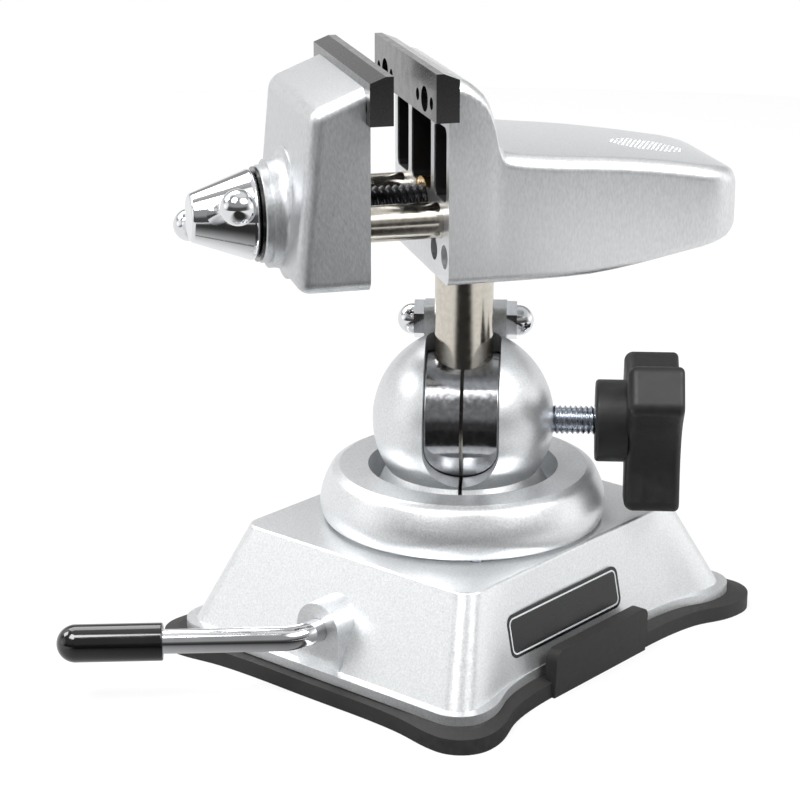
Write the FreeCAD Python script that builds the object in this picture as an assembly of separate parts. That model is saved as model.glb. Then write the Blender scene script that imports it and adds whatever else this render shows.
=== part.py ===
import FreeCAD, Part
import math
import os

# Suction base vise in millimetres, +Z up.
# The origin is the centre of the pad's underside, below the turning axis of the ball.
# The lever side of the base faces -X and the label side faces -Y.

Vector = FreeCAD.Vector

# General clearances
overrun = 2.0
running_gap = 0.05
seat_gap = 0.1
free_gap = 0.5

# How far the swivel and the head are turned at rest, in degrees
turret_angle = -53.0
head_angle = 145.0

# Base housing, a thin die casting that is open below
lip_half_x = 62.3
lip_half_y = 51.4
lip_corner = 9.0
lip_waist = 6.0
lip_bottom = 5.0
lip_height = 2.6
ledge_width = 2.9
foot_corner = 6.0
foot_waist = 3.5
top_half_x = 46.0
top_half_y = 39.7
top_corner = 5.0
housing_top = 33.4
housing_wall = 3.2
housing_roof = 4.0
housing_edge = 0.8

# A drawn-in side passes through these shares of its half length and of its waist
waist_shares = [(-1.0, 0.0), (-0.75, 0.64), (-0.56, 0.97), (0.0, 1.0), (0.56, 0.97), (0.75, 0.64), (1.0, 0.0)]

# Lever boss on the housing, and the two bearings that hang from its roof
shaft_height = 17.6
boss_face = 59.8
boss_half_width = 7.2
bearing_inner = 5.5
bearing_outer = 10.0
bearing_radius = 6.0

# Bare plate on the label side
label_left = -34.0
label_right = 14.4
label_low = 12.8
label_high = 24.4
label_corner = 2.6
label_thickness = 0.5

# Swivel ring screwed down on the housing
spigot_radius = 37.0
spigot_height = 0.8
ring_foot_radius = 38.4
ring_bulge_radius = 39.2
ring_bulge_height = 2.4
ring_shoulder_radius = 38.4
ring_shoulder_height = 8.0
ring_brow_radius = 36.8
ring_brow_height = 11.6
ring_band_radius = 34.0
ring_lip_radius = 26.05
ring_top = 47.8
ring_lip_bottom = 39.5
ring_cavity_radius = 33.0

# Four screws that hold the ring from under the roof
ring_screw_circle = 35.9
ring_screw_radius = 2.0
ring_screw_length = 12.0
ring_screw_head_radius = 3.5
ring_screw_head_height = 2.2
ring_screw_count = 4

# Rubber pad with its pull tab
pad_half_x = 67.0
pad_half_y = 56.0
pad_corner = 10.0
pad_waist_x = 2.5
pad_waist_y = 6.5
pad_edge_height = 4.2
pad_top_inset = 3.6
tab_left = -23.0
tab_right = 18.0
tab_height = 13.2
tab_inner = 46.5
tab_thickness = 3.6
tab_flare = 0.7
tab_corner = 3.0

# Lever rod, bent from round bar
rod_radius = 3.175
rod_inner_end = 14.0
bend_vertex = 67.5
bend_radius = 10.0
arm_turn = 46.5
rod_arm_length = 58.5
grip_start = 34.6
grip_end = 62.0
grip_radius = 4.95

# Lever cam, a spiral that lifts the yoke by the same amount in each degree
cam_low_radius = 4.5
pad_lift = 4.0
cam_half_width = 4.0
cam_half_turn_steps = 12
clip_thickness = 1.0
clip_radius = 5.8
clip_mouth = 4.6

# Plate on the pad, and the yoke that the cam lifts
plate_half_x = 34.0
plate_half_y = 24.0
plate_corner = 8.0
plate_thickness = 2.0
yoke_half_width = 12.4
yoke_side = 3.0
yoke_bar = 2.3
yoke_foot = 1.2

# Ball, split along the plane of its slot
ball_height = 60.75
ball_radius = 24.8
split_gap = 1.0
neck_low_radius = 24.5
neck_high_radius = 20.5
neck_low = 40.0
neck_high = 48.0
flange_radius = 30.7
flange_gap = 0.3
flange_top = 39.2
slot_half_width = 10.2
slot_dip = 2.3
ear_inner = 3.0
ear_outer = 11.3
ear_front = 9.2
ear_back = 19.0
ear_top = 89.5
ear_corner = 1.6
tie_radius = 2.415
tie_setback = 14.0
tie_height = 84.65
tie_end = 16.2
nut_flats = 9.5
nut_height = 2.8
nut_dome_radius = 4.25
nut_end = 18.8

# Clamp halves that grip the shaft inside the ball
clamp_radius = 18.0
clamp_outer = 10.1
cavity_radius = 18.3
clamp_edge = 0.6

# Clamp knob with three lobes
stud_radius = 3.97
stud_end = 52.0
hub_start = 35.9
hub_end = 44.6
hub_radius = 11.2
hub_edge = 1.0
lobe_start = 44.0
lobe_end = 59.0
lobe_reach = 24.0
lobe_half_width = 7.0
lobe_corner = 2.8
lobe_valley = 11.0
lobe_inner_edge = 2.6
lobe_outer_edge = 1.5
lobe_count = 3
lobe_turn = 40.0

# Head shaft
shaft_radius = 7.9375
shaft_bottom = 45.75
shaft_top = 113.0
shaft_edge = 0.8

# Head body: the fixed jaw block and its long tail
jaw_axis = 121.3
head_bottom = 105.7
jaw_half_width = 27.4
fixed_face = 12.1
fixed_shelf = 10.7
shelf_height = 149.3
block_top = 158.9
block_back = 6.9
rump_back = 2.0
rump_height = 154.5
block_foot = 16.0

# Rear edge of the jaw block, as shares of the way back and of the way down
crease_shares = [(0.0, 0.0), (0.09, 0.13), (0.2, 0.303), (0.445, 0.522), (1.0, 1.0)]

tail_length = 71.0
tail_height = 39.5
tail_blank_half_width = 30.0
tail_root_half_width = 27.0
tail_end_half_width = 23.6
tail_draft = 1.3
tail_corner = 12.0
tail_edge = 2.5

# Stations along the tail, then the crown, shoulder and underside there, as shares of the tail height
station_shares = [-0.085, 0.028, 0.141, 0.352, 0.563, 0.704, 0.845, 0.944, 1.0]
crown_shares = [1.197, 1.061, 1.0, 0.99, 0.944, 0.884, 0.78, 0.641, 0.463]
shoulder_drop_shares = [0.5, 0.42, 0.385, 0.43, 0.44, 0.4, 0.297, 0.165, 0.071]
floor_shares = [0.0, 0.0, 0.0, 0.004, 0.012, 0.04, 0.084, 0.144, 0.185]

# Shallow bare oval on top of the tail
oval_centre = 50.5
oval_half_length = 11.0
oval_half_width = 8.0
oval_depth = 0.4

# Pockets cored into the fixed jaw face
pocket_low = 127.0
pocket_high = 146.5
pocket_depth = 9.5
pocket_corner = 2.0
centre_pocket_half_width = 9.8
side_pocket_inner = 13.0
side_pocket_outer = 24.8

# Bores and blind holes of the head
guide_spacing = 18.0
guide_radius = 4.75
bore_depth = 54.0
screw_passage_radius = 6.2
blind_radius = 3.15
blind_height = 112.7
blind_inner = 13.1
blind_outer = 23.2
blind_depth = 12.0
lead_nut_radius = 7.5
lead_nut_face = 11.9
lead_nut_back = 4.0

# Jaw pads
pad_length = 63.5
fixed_pad_face = 16.74
pad_top = 161.7
pad_flat = 2.0
pad_back_drop = 1.6
pad_hole_spacing = 20.3
pad_hole_height = 153.5
pad_hole_radius = 3.25
pad_side_hole_radius = 1.6
pad_side_hole_offset = 6.7
pad_edge = 0.5
pad_screw_seat = 2.0
pad_screw_head_height = 2.2
pad_screw_head_radius = 3.1
pad_screw_radius = 1.6
pad_screw_reach = 6.0
pad_screw_socket = 1.4
pad_screw_socket_depth = 1.3

# Movable jaw
movable_face = 32.5
movable_shelf = 33.7
movable_back = 52.0
movable_top = 158.0
movable_top_round = 8.0
movable_bottom_round = 4.0
movable_corner = 10.0
movable_pad_face = 27.6
boss_root = 46.0
boss_step = 54.0
boss_end = 56.2
boss_root_radius = 13.2
boss_end_radius = 12.8
guide_front = 47.0
guide_back = 42.0

# Lead screw, its collar, washer, knob and cross bar
lead_radius = 5.55
lead_fit = 0.08
lead_front = 31.5
lead_back = 42.0
neck_radius = 4.0
neck_end = 71.0
collar_radius = 7.0
collar_thickness = 2.5
washer_start = 56.3
washer_thickness = 0.7
washer_radius = 12.4
cone_end = 74.3
cone_wide_radius = 12.5
cone_narrow_radius = 6.2
cone_edge = 1.5
cone_tip_edge = 1.2
bar_place = 68.0
bar_radius = 2.75
bar_reach = 38.0
bar_ball_radius = 4.55
bar_tilt = 16.7


def turned(shape, angle):
    """Turn a shape about the upright axis of the ball."""
    result = shape.copy()
    result.rotate(Vector(0, 0, 0), Vector(0, 0, 1), angle)
    return result


def slab(x_low, x_high, y_low, y_high, z_low, z_high):
    """A box between two limits along each axis."""
    return Part.makeBox(x_high - x_low, y_high - y_low, z_high - z_low, Vector(x_low, y_low, z_low))


def bar(radius, x_low, x_high, y, z):
    """A round bar that runs along X."""
    return Part.makeCylinder(radius, x_high - x_low, Vector(x_low, y, z), Vector(1, 0, 0))


def face_of(edges):
    """A flat face inside edges that meet end to end."""
    return Part.Face(Part.Wire(Part.__sortEdges__(edges)))


def spline(points, start=None, end=None):
    """A smooth edge through points, with a direction given at both ends or at neither."""
    curve = Part.BSplineCurve()
    if start is None:
        curve.interpolate(Points=points)
    else:
        curve.interpolate(Points=points, InitialTangent=start, FinalTangent=end)
    return curve.toShape()


def chain(points):
    """Straight edges from each point to the next."""
    return [Part.makeLine(first, second) for first, second in zip(points, points[1:])]


def arc(first, middle, last):
    """A round edge through three points."""
    return Part.Arc(first, middle, last).toShape()


def corner_arc(centre, radius, start_angle, end_angle):
    """A round edge in a level plane, between two angles in degrees."""
    points = []
    for angle in (start_angle, (start_angle + end_angle) / 2.0, end_angle):
        turn = math.radians(angle)
        points.append(centre + Vector(radius * math.cos(turn), radius * math.sin(turn), 0))
    return arc(*points)


def drawn_in_outline(half_x, half_y, corner, waist_x, waist_y, z):
    """Four rounded corners joined by sides that draw in towards their middles."""
    run_x = half_x - corner
    run_y = half_y - corner
    along_x = [(share * run_x, half_y - depth * waist_y) for share, depth in waist_shares]
    along_y = [(half_x - depth * waist_x, share * run_y) for share, depth in waist_shares]
    right = [Vector(x, y, z) for x, y in along_y]
    back = [Vector(-x, y, z) for x, y in along_x]
    left = [Vector(-x, -y, z) for x, y in along_y]
    front = [Vector(x, -y, z) for x, y in along_x]
    edges = [
        spline(right, Vector(0, 1, 0), Vector(0, 1, 0)),
        corner_arc(Vector(run_x, run_y, z), corner, 0.0, 90.0),
        spline(back, Vector(-1, 0, 0), Vector(-1, 0, 0)),
        corner_arc(Vector(-run_x, run_y, z), corner, 90.0, 180.0),
        spline(left, Vector(0, -1, 0), Vector(0, -1, 0)),
        corner_arc(Vector(-run_x, -run_y, z), corner, 180.0, 270.0),
        spline(front, Vector(1, 0, 0), Vector(1, 0, 0)),
        corner_arc(Vector(run_x, -run_y, z), corner, 270.0, 360.0),
    ]
    return Part.Wire(edges)


def arched_slab(x_low, x_high, half_width, centre_z, flat_z):
    """A slab along X with a round end about a centre and straight sides to a flat end."""
    side = math.copysign(half_width, centre_z - flat_z)
    left = Vector(x_low, -half_width, centre_z)
    right = Vector(x_low, half_width, centre_z)
    edges = chain([left, Vector(x_low, -half_width, flat_z), Vector(x_low, half_width, flat_z), right])
    edges.append(arc(right, Vector(x_low, 0, centre_z + side), left))
    return face_of(edges).extrude(Vector(x_high - x_low, 0, 0))


def wall_y(z):
    """Distance of the label side's middle from the base's centre at a height."""
    foot = lip_half_y - ledge_width - foot_waist
    foot_z = lip_bottom + lip_height
    return foot + (top_half_y - foot) * (z - foot_z) / (housing_top - foot_z)


def ring_screw_places():
    """Centres of the ring screws on their circle."""
    step = 360.0 / ring_screw_count
    angles = [math.radians(step * (index + 0.5)) for index in range(ring_screw_count)]
    return [(ring_screw_circle * math.cos(angle), ring_screw_circle * math.sin(angle)) for angle in angles]


def base_housing():
    """The sloped casting with its ledge, lever boss and bearings, hollow from below."""
    ledge_z = lip_bottom + lip_height
    foot_x = lip_half_x - ledge_width
    foot_y = lip_half_y - ledge_width
    roof_z = housing_top - housing_roof
    slope_share = housing_roof / (housing_top - ledge_z)
    inner_x = top_half_x - housing_wall + slope_share * (foot_x - top_half_x)
    inner_y = top_half_y - housing_wall + slope_share * (foot_y - foot_waist - top_half_y)
    lip = Part.Face(drawn_in_outline(lip_half_x, lip_half_y, lip_corner, 0, lip_waist, lip_bottom))
    body = lip.extrude(Vector(0, 0, lip_height))
    foot = drawn_in_outline(foot_x, foot_y, foot_corner, 0, foot_waist, ledge_z)
    top = drawn_in_outline(top_half_x, top_half_y, top_corner, 0, 0, housing_top)
    walls = Part.makeLoft([foot, top], True, True)
    rim = [edge for edge in walls.Edges if edge.BoundBox.ZMin > housing_top - seat_gap]
    walls = walls.makeFillet(housing_edge, rim)
    body = body.fuse(walls)
    boss_depth = boss_face - top_half_x
    boss = arched_slab(-boss_face, -boss_face + boss_depth, boss_half_width, shaft_height, ledge_z)
    body = body.fuse(boss)
    cavity_foot_outline = (foot_x - housing_wall, foot_y - housing_wall, foot_corner, 0, foot_waist)
    cavity_low = Part.Face(drawn_in_outline(*cavity_foot_outline, lip_bottom - overrun))
    cavity_foot = drawn_in_outline(*cavity_foot_outline, ledge_z)
    cavity_roof = drawn_in_outline(inner_x, inner_y, top_corner, 0, 0, roof_z)
    body = body.cut(cavity_low.extrude(Vector(0, 0, lip_height + overrun)))
    body = body.cut(Part.makeLoft([cavity_foot, cavity_roof], True, True))
    for low, high in ((bearing_inner, bearing_outer), (-bearing_outer, -bearing_inner)):
        body = body.fuse(arched_slab(low, high, bearing_radius, shaft_height, roof_z + seat_gap))
    body = body.cut(bar(rod_radius + running_gap, -boss_face - overrun, bearing_outer + overrun, 0, shaft_height))
    for x, y in ring_screw_places():
        hole = Part.makeCylinder(ring_screw_radius + seat_gap, housing_roof + 2 * overrun,
                                 Vector(x, y, roof_z - overrun))
        body = body.cut(hole)
    return body.removeSplitter()


def label_plate(housing):
    """A thin bare plate with rounded corners, lying on the sloped label side."""
    left = label_left + label_corner
    right = label_right - label_corner
    low = label_low + label_corner
    high = label_high - label_corner
    depth = wall_y(label_low) + overrun
    slant = math.degrees(math.atan2(wall_y(label_low) - wall_y(label_high), label_high - label_low))
    centres = [(right, high, 0.0), (left, high, 90.0), (left, low, 180.0), (right, low, 270.0)]
    corners = [corner_arc(Vector(x, y, 0), label_corner, angle, angle + 90.0) for x, y, angle in centres]
    sides = []
    for first, second in zip(corners, corners[1:] + corners[:1]):
        sides.append(Part.makeLine(first.Vertexes[-1].Point, second.Vertexes[0].Point))
    blank = face_of(corners + sides).extrude(Vector(0, 0, label_thickness + overrun))
    blank.rotate(Vector(0, 0, 0), Vector(1, 0, 0), 90.0)
    blank.translate(Vector(0, overrun - wall_y(label_low), 0))
    blank.rotate(Vector(0, -wall_y(label_low), label_low), Vector(1, 0, 0), -slant)
    backing = housing.common(slab(label_left - overrun, label_right + overrun, -depth, 0, 0, housing_top))
    plate = blank.cut(backing)
    return max(plate.Solids, key=lambda solid: -solid.BoundBox.YMin)


def turret_ring():
    """The rounded ring whose lip holds the flange of the ball down."""
    base_z = housing_top + spigot_height

    def point(radius, z):
        return Vector(radius, 0, z)

    side = [
        point(ring_foot_radius, base_z),
        point(ring_bulge_radius, base_z + ring_bulge_height),
        point(ring_shoulder_radius, base_z + ring_shoulder_height),
        point(ring_brow_radius, base_z + ring_brow_height),
        point(ring_band_radius, ring_top),
    ]
    outer = spline(side, Vector(0.6, 0, 1), Vector(-1, 0, 0.35))
    edges = [outer]
    edges += chain([
        side[-1],
        point(ring_lip_radius, ring_top),
        point(ring_lip_radius, ring_lip_bottom),
        point(ring_cavity_radius, ring_lip_bottom),
        point(ring_cavity_radius, housing_top),
        point(spigot_radius, housing_top),
        point(spigot_radius, base_z),
        side[0],
    ])
    ring = face_of(edges).revolve(Vector(0, 0, 0), Vector(0, 0, 1), 360.0)
    for x, y in ring_screw_places():
        depth = ring_screw_length - housing_roof
        ring = ring.cut(Part.makeCylinder(ring_screw_radius, depth + overrun, Vector(x, y, housing_top - overrun)))
    return ring


def ring_screws():
    """Pan head screws under the roof, one solid each."""
    roof_z = housing_top - housing_roof
    screws = []
    for x, y in ring_screw_places():
        shank = Part.makeCylinder(ring_screw_radius, ring_screw_length, Vector(x, y, roof_z))
        head_z = roof_z - ring_screw_head_height
        head = Part.makeCylinder(ring_screw_head_radius, ring_screw_head_height, Vector(x, y, head_z))
        screws.append(shank.fuse(head).removeSplitter())
    return Part.makeCompound(screws)


def vacuum_pad():
    """The rubber pad, drawn in along its sides, with the tab that lifts its edge."""
    low = drawn_in_outline(pad_half_x, pad_half_y, pad_corner, pad_waist_x, pad_waist_y, 0)
    pad = Part.Face(low).extrude(Vector(0, 0, pad_edge_height))
    inset_x = pad_half_x - pad_top_inset
    inset_y = pad_half_y - pad_top_inset
    inset_corner = pad_corner - pad_top_inset
    shoulder_low = drawn_in_outline(pad_half_x, pad_half_y, pad_corner, pad_waist_x, pad_waist_y, pad_edge_height)
    shoulder_high = drawn_in_outline(inset_x, inset_y, inset_corner, pad_waist_x, pad_waist_y, lip_bottom)
    pad = pad.fuse(Part.makeLoft([shoulder_low, shoulder_high], True, True))
    outer_low = -tab_inner - tab_thickness
    outer_high = outer_low - tab_flare
    profile = chain([
        Vector(tab_left, -tab_inner, 0),
        Vector(tab_left, outer_low, 0),
        Vector(tab_left, outer_high, tab_height),
        Vector(tab_left, -tab_inner - tab_flare, tab_height),
        Vector(tab_left, -tab_inner, 0),
    ])
    tab = face_of(profile).extrude(Vector(tab_right - tab_left, 0, 0))
    top_corners = []
    for edge in tab.Edges:
        box = edge.BoundBox
        if box.XLength < seat_gap and box.ZLength < seat_gap and box.ZMin > tab_height - seat_gap:
            top_corners.append(edge)
    tab = tab.makeFillet(tab_corner, top_corners)
    return pad.fuse(tab).removeSplitter()


def arm_direction():
    """Level direction in which the lever's arm leaves the bend."""
    turn = math.radians(180.0 - arm_turn)
    return Vector(math.cos(turn), math.sin(turn), 0)


def lever_rod():
    """Round bar with one bend, pushed through the boss and both bearings."""
    tangent = bend_radius * math.tan(math.radians(arm_turn / 2.0))
    vertex = Vector(-bend_vertex, 0, shaft_height)
    arm = arm_direction()
    start = Vector(rod_inner_end, 0, shaft_height)
    bend_start = vertex + Vector(tangent, 0, 0)
    bend_end = vertex + arm * tangent
    inward = (arm + Vector(1, 0, 0)).normalize()
    apex_distance = bend_radius / math.cos(math.radians(arm_turn / 2.0)) - bend_radius
    apex = vertex + inward * apex_distance
    end = vertex + arm * rod_arm_length
    path = Part.Wire([Part.makeLine(start, bend_start), arc(bend_start, apex, bend_end), Part.makeLine(bend_end, end)])
    circle = Part.Wire([Part.makeCircle(rod_radius, start, Vector(-1, 0, 0))])
    return path.makePipeShell([circle], True, False)


def lever_grip():
    """Dipped vinyl sleeve with a round end, closed over the end of the rod."""
    vertex = Vector(-bend_vertex, 0, shaft_height)
    arm = arm_direction()
    straight = grip_end - grip_radius - grip_start
    sleeve = Part.makeCylinder(grip_radius, straight, vertex + arm * grip_start, arm)
    mouth = [edge for edge in sleeve.Edges if (edge.CenterOfMass - vertex).Length < grip_start + seat_gap]
    sleeve = sleeve.makeFillet(free_gap, mouth)
    dome = Part.makeSphere(grip_radius, vertex + arm * (grip_end - grip_radius))
    hole_length = rod_arm_length - grip_start + overrun
    hole = Part.makeCylinder(rod_radius, hole_length, vertex + arm * (grip_start - overrun), arm)
    return sleeve.fuse(dome).cut(hole)


def lever_cam():
    """Spiral cam: its radius grows evenly through half a turn and shrinks through the other half."""
    points = []
    for index in range(cam_half_turn_steps + 1):
        share = index / cam_half_turn_steps
        turn = math.pi * share
        radius = cam_low_radius + pad_lift * share
        points.append(Vector(-cam_half_width, -radius * math.sin(turn), shaft_height + radius * math.cos(turn)))
    mirrored = [Vector(point.x, -point.y, point.z) for point in points]
    outline = face_of([spline(points), spline(mirrored)])
    cam = outline.extrude(Vector(2 * cam_half_width, 0, 0))
    return cam.cut(bar(rod_radius, -cam_half_width - overrun, cam_half_width + overrun, 0, shaft_height))


def lever_retaining_clip():
    """Spring clip on the inner end of the rod, open on one side."""
    start = bearing_outer + free_gap
    disc = bar(clip_radius, start, start + clip_thickness, 0, shaft_height)
    disc = disc.cut(bar(rod_radius, start - overrun, start + clip_thickness + overrun, 0, shaft_height))
    half_mouth = clip_mouth / 2.0
    mouth = slab(start - overrun, start + clip_thickness + overrun, 0, clip_radius + overrun,
                 shaft_height - half_mouth, shaft_height + half_mouth)
    return disc.cut(mouth)


def pad_plate():
    """Steel plate that is bonded to the top of the pad."""
    outline = drawn_in_outline(plate_half_x, plate_half_y, plate_corner, 0, 0, lip_bottom)
    return Part.Face(outline).extrude(Vector(0, 0, plate_thickness))


def pad_yoke():
    """Square frame round the cam, standing on the plate."""
    foot_z = lip_bottom + plate_thickness
    bar_bottom = shaft_height + cam_low_radius + free_gap
    frame = slab(-cam_half_width, cam_half_width, -yoke_half_width, yoke_half_width, foot_z, bar_bottom + yoke_bar)
    window_half = yoke_half_width - yoke_side
    window = slab(-cam_half_width - overrun, cam_half_width + overrun, -window_half, window_half,
                  foot_z + yoke_foot, bar_bottom)
    return frame.cut(window)


def ball_blank():
    """Ball, neck, flange and ears in one piece, with the slot, the cavity and the holes."""
    flange_bottom = housing_top + flange_gap
    blank = Part.makeSphere(ball_radius, Vector(0, 0, ball_height))
    neck = Part.makeCone(neck_low_radius, neck_high_radius, neck_high - neck_low, Vector(0, 0, neck_low))
    flange = Part.makeCylinder(flange_radius, flange_top - flange_bottom, Vector(0, 0, flange_bottom))
    collar = Part.makeCylinder(neck_low_radius, neck_low - flange_bottom, Vector(0, 0, flange_bottom))
    blank = blank.fuse(neck).fuse(flange).fuse(collar)
    for inner, outer in ((ear_inner, ear_outer), (-ear_outer, -ear_inner)):
        ear = slab(inner, outer, ear_front, ear_back, ball_height, ear_top)
        upright = [edge for edge in ear.Edges if edge.BoundBox.ZMin > ear_top - seat_gap and edge.BoundBox.YLength < seat_gap]
        ear = ear.makeFillet(ear_corner, upright)
        blank = blank.fuse(ear)
    tall = ball_radius + ear_top
    slot_centre_z = ball_height - slot_dip
    blank = blank.cut(slab(-slot_half_width, slot_half_width, -tall, 0, slot_centre_z, tall + ear_top))
    blank = blank.cut(Part.makeCylinder(slot_half_width, tall, Vector(0, 0, slot_centre_z), Vector(0, -1, 0)))
    blank = blank.cut(Part.makeCylinder(slot_half_width, tall, Vector(0, 0, ball_height - shaft_radius)))
    blank = blank.cut(bar(cavity_radius, -slot_half_width, slot_half_width, 0, ball_height))
    blank = blank.cut(bar(tie_radius, -ear_outer - overrun, ear_outer + overrun, tie_setback, tie_height))
    blank = blank.cut(bar(stud_radius + running_gap, 0, ball_radius + overrun, 0, ball_height))
    return blank


def ball_half(side):
    """One half of the ball; side is -1 for the left half and 1 for the knob's half."""
    half_gap = split_gap / 2.0
    near = half_gap if side > 0 else -flange_radius - overrun
    far = flange_radius + overrun if side > 0 else -half_gap
    keeper = slab(near, far, -flange_radius - overrun, flange_radius + overrun, 0, ear_top + overrun)
    return turned(ball_blank().common(keeper), turret_angle)


def tie_rod():
    """Threaded rod through both ears."""
    return turned(bar(tie_radius, -tie_end, tie_end, tie_setback, tie_height), turret_angle)


def acorn_nuts():
    """Closed nuts on both ends of the tie rod, one solid each."""
    corner_radius = nut_flats / math.sqrt(3.0)
    corners = []
    for index in range(7):
        turn = math.radians(60.0 * index)
        y = tie_setback + corner_radius * math.sin(turn)
        corners.append(Vector(ear_outer, y, tie_height + corner_radius * math.cos(turn)))
    nut = Part.Face(Part.makePolygon(corners)).extrude(Vector(nut_height, 0, 0))
    dome_centre = nut_end - nut_dome_radius
    nut = nut.fuse(bar(nut_dome_radius, ear_outer, dome_centre, tie_setback, tie_height))
    dome_base = Vector(dome_centre, tie_setback, tie_height)
    nut = nut.fuse(Part.makeSphere(nut_dome_radius, dome_base, Vector(1, 0, 0), 0, 90, 360))
    nut = nut.cut(bar(tie_radius, ear_outer - overrun, tie_end, tie_setback, tie_height))
    mirrored = nut.mirror(Vector(0, 0, 0), Vector(1, 0, 0))
    return turned(Part.makeCompound([nut, mirrored]), turret_angle)


def clamp_half(side):
    """Half of the split drum round the shaft."""
    half_gap = split_gap / 2.0
    near = half_gap if side > 0 else -clamp_outer
    far = clamp_outer if side > 0 else -half_gap
    drum = bar(clamp_radius, near, far, 0, ball_height)
    outer_x = side * clamp_outer
    rim = [edge for edge in drum.Edges if abs(edge.CenterOfMass.x - outer_x) < seat_gap and edge.BoundBox.XLength < seat_gap]
    drum = drum.makeFillet(clamp_edge, rim)
    bore = Part.makeCylinder(shaft_radius + running_gap, 2 * ball_radius, Vector(0, 0, ball_height - ball_radius))
    return turned(drum.cut(bore), turret_angle)


def clamp_knob_stud():
    """Stud that presses on the clamp half beside it."""
    return turned(bar(stud_radius, slot_half_width, stud_end, 0, ball_height), turret_angle)


def lobed_outline(x):
    """Outline of the knob across its axis: three blunt lobes joined by hollow valleys."""
    lobe_angle = 360.0 / lobe_count
    half_angle = math.radians(lobe_angle / 2.0)
    meeting = lobe_half_width / math.sin(half_angle)
    valley_round = (lobe_valley - meeting) / (1.0 / math.sin(half_angle) - 1.0)
    root = meeting * math.cos(half_angle) + valley_round / math.tan(half_angle)
    reach = lobe_reach - lobe_corner
    flank = lobe_half_width - lobe_corner
    bevel_share = math.sqrt(0.5)
    bevel = lobe_corner * bevel_share

    def place(along, across, turn_degrees):
        turn = math.radians(turn_degrees)
        toward = along * math.cos(turn) - across * math.sin(turn)
        upward = along * math.sin(turn) + across * math.cos(turn)
        return Vector(x, -toward, ball_height + upward)

    edges = []
    for index in range(lobe_count):
        turn = lobe_turn + index * lobe_angle
        points = [
            place(root, -lobe_half_width, turn),
            place(reach, -lobe_half_width, turn),
            place(reach + bevel, -flank - bevel, turn),
            place(lobe_reach, -flank, turn),
            place(lobe_reach, flank, turn),
            place(reach + bevel, flank + bevel, turn),
            place(reach, lobe_half_width, turn),
            place(root, lobe_half_width, turn),
        ]
        edges.append(Part.makeLine(points[0], points[1]))
        edges.append(arc(points[1], points[2], points[3]))
        edges.append(Part.makeLine(points[3], points[4]))
        edges.append(arc(points[4], points[5], points[6]))
        edges.append(Part.makeLine(points[6], points[7]))
        next_start = place(root, -lobe_half_width, turn + lobe_angle)
        edges.append(arc(points[7], place(lobe_valley, 0, turn + lobe_angle / 2.0), next_start))
    return Part.Wire(edges)


def clamp_knob():
    """Moulded knob with its hub and three lobes."""
    lobes = Part.Face(lobed_outline(lobe_start)).extrude(Vector(lobe_end - lobe_start, 0, 0))
    inner = [edge for edge in lobes.Edges if edge.BoundBox.XMax < lobe_start + seat_gap]
    lobes = lobes.makeFillet(lobe_inner_edge, inner)
    outer = [edge for edge in lobes.Edges if edge.BoundBox.XMin > lobe_end - seat_gap]
    lobes = lobes.makeFillet(lobe_outer_edge, outer)
    hub = bar(hub_radius, hub_start, hub_end, 0, ball_height)
    rim = [edge for edge in hub.Edges if edge.BoundBox.XMax < hub_start + seat_gap]
    hub = hub.makeFillet(hub_edge, rim)
    knob = lobes.fuse(hub)
    knob = knob.cut(bar(stud_radius, hub_start - overrun, stud_end, 0, ball_height))
    return turned(knob, turret_angle)


def head_shaft():
    """Round shaft from inside the clamp up into the head."""
    shaft = Part.makeCylinder(shaft_radius, shaft_top - shaft_bottom, Vector(0, 0, shaft_bottom))
    return shaft.makeChamfer(shaft_edge, [edge for edge in shaft.Edges if edge.BoundBox.ZLength < seat_gap])


def jaw_block():
    """The upright block of the fixed jaw, with the curved crease behind it."""
    back_run = rump_back + block_foot
    down_run = rump_height - head_bottom
    crease = [Vector(rump_back - back * back_run, 0, rump_height - down * down_run) for back, down in crease_shares]
    edges = chain([
        crease[-1],
        Vector(fixed_face, 0, head_bottom),
        Vector(fixed_face, 0, shelf_height),
        Vector(fixed_shelf, 0, shelf_height),
        Vector(fixed_shelf, 0, block_top),
        Vector(block_back, 0, block_top),
        crease[0],
    ])
    edges.append(spline(crease))
    block = face_of(edges)
    block.translate(Vector(0, -jaw_half_width, 0))
    return block.extrude(Vector(0, 2 * jaw_half_width, 0))


def tail_section(station, crown, drop, floor):
    """Cross-section of the tail: flat below, upright sides and a crowned top."""
    a = -station * tail_length
    half = tail_blank_half_width
    low = head_bottom + floor * tail_height
    high = head_bottom + crown * tail_height
    shoulder = high - drop * tail_height
    edges = chain([Vector(a, half, shoulder), Vector(a, half, low), Vector(a, -half, low), Vector(a, -half, shoulder)])
    edges.append(arc(Vector(a, -half, shoulder), Vector(a, 0, high), Vector(a, half, shoulder)))
    return Part.Wire(edges)


def tail_plan(inset, z):
    """Outline of the tail from above: it narrows to a rounded end."""
    root = tail_root_half_width - inset
    end = tail_end_half_width - inset
    end_a = -tail_length
    corner_a = end_a + tail_corner
    edges = chain([Vector(corner_a, end, z), Vector(rump_back, root, z), Vector(rump_back, -root, z), Vector(corner_a, -end, z)])
    edges.append(corner_arc(Vector(corner_a, tail_corner - end, z), tail_corner, 270.0, 180.0))
    edges.append(Part.makeLine(Vector(end_a, tail_corner - end, z), Vector(end_a, end - tail_corner, z)))
    edges.append(corner_arc(Vector(corner_a, end - tail_corner, z), tail_corner, 180.0, 90.0))
    return Part.Wire(edges)


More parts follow.
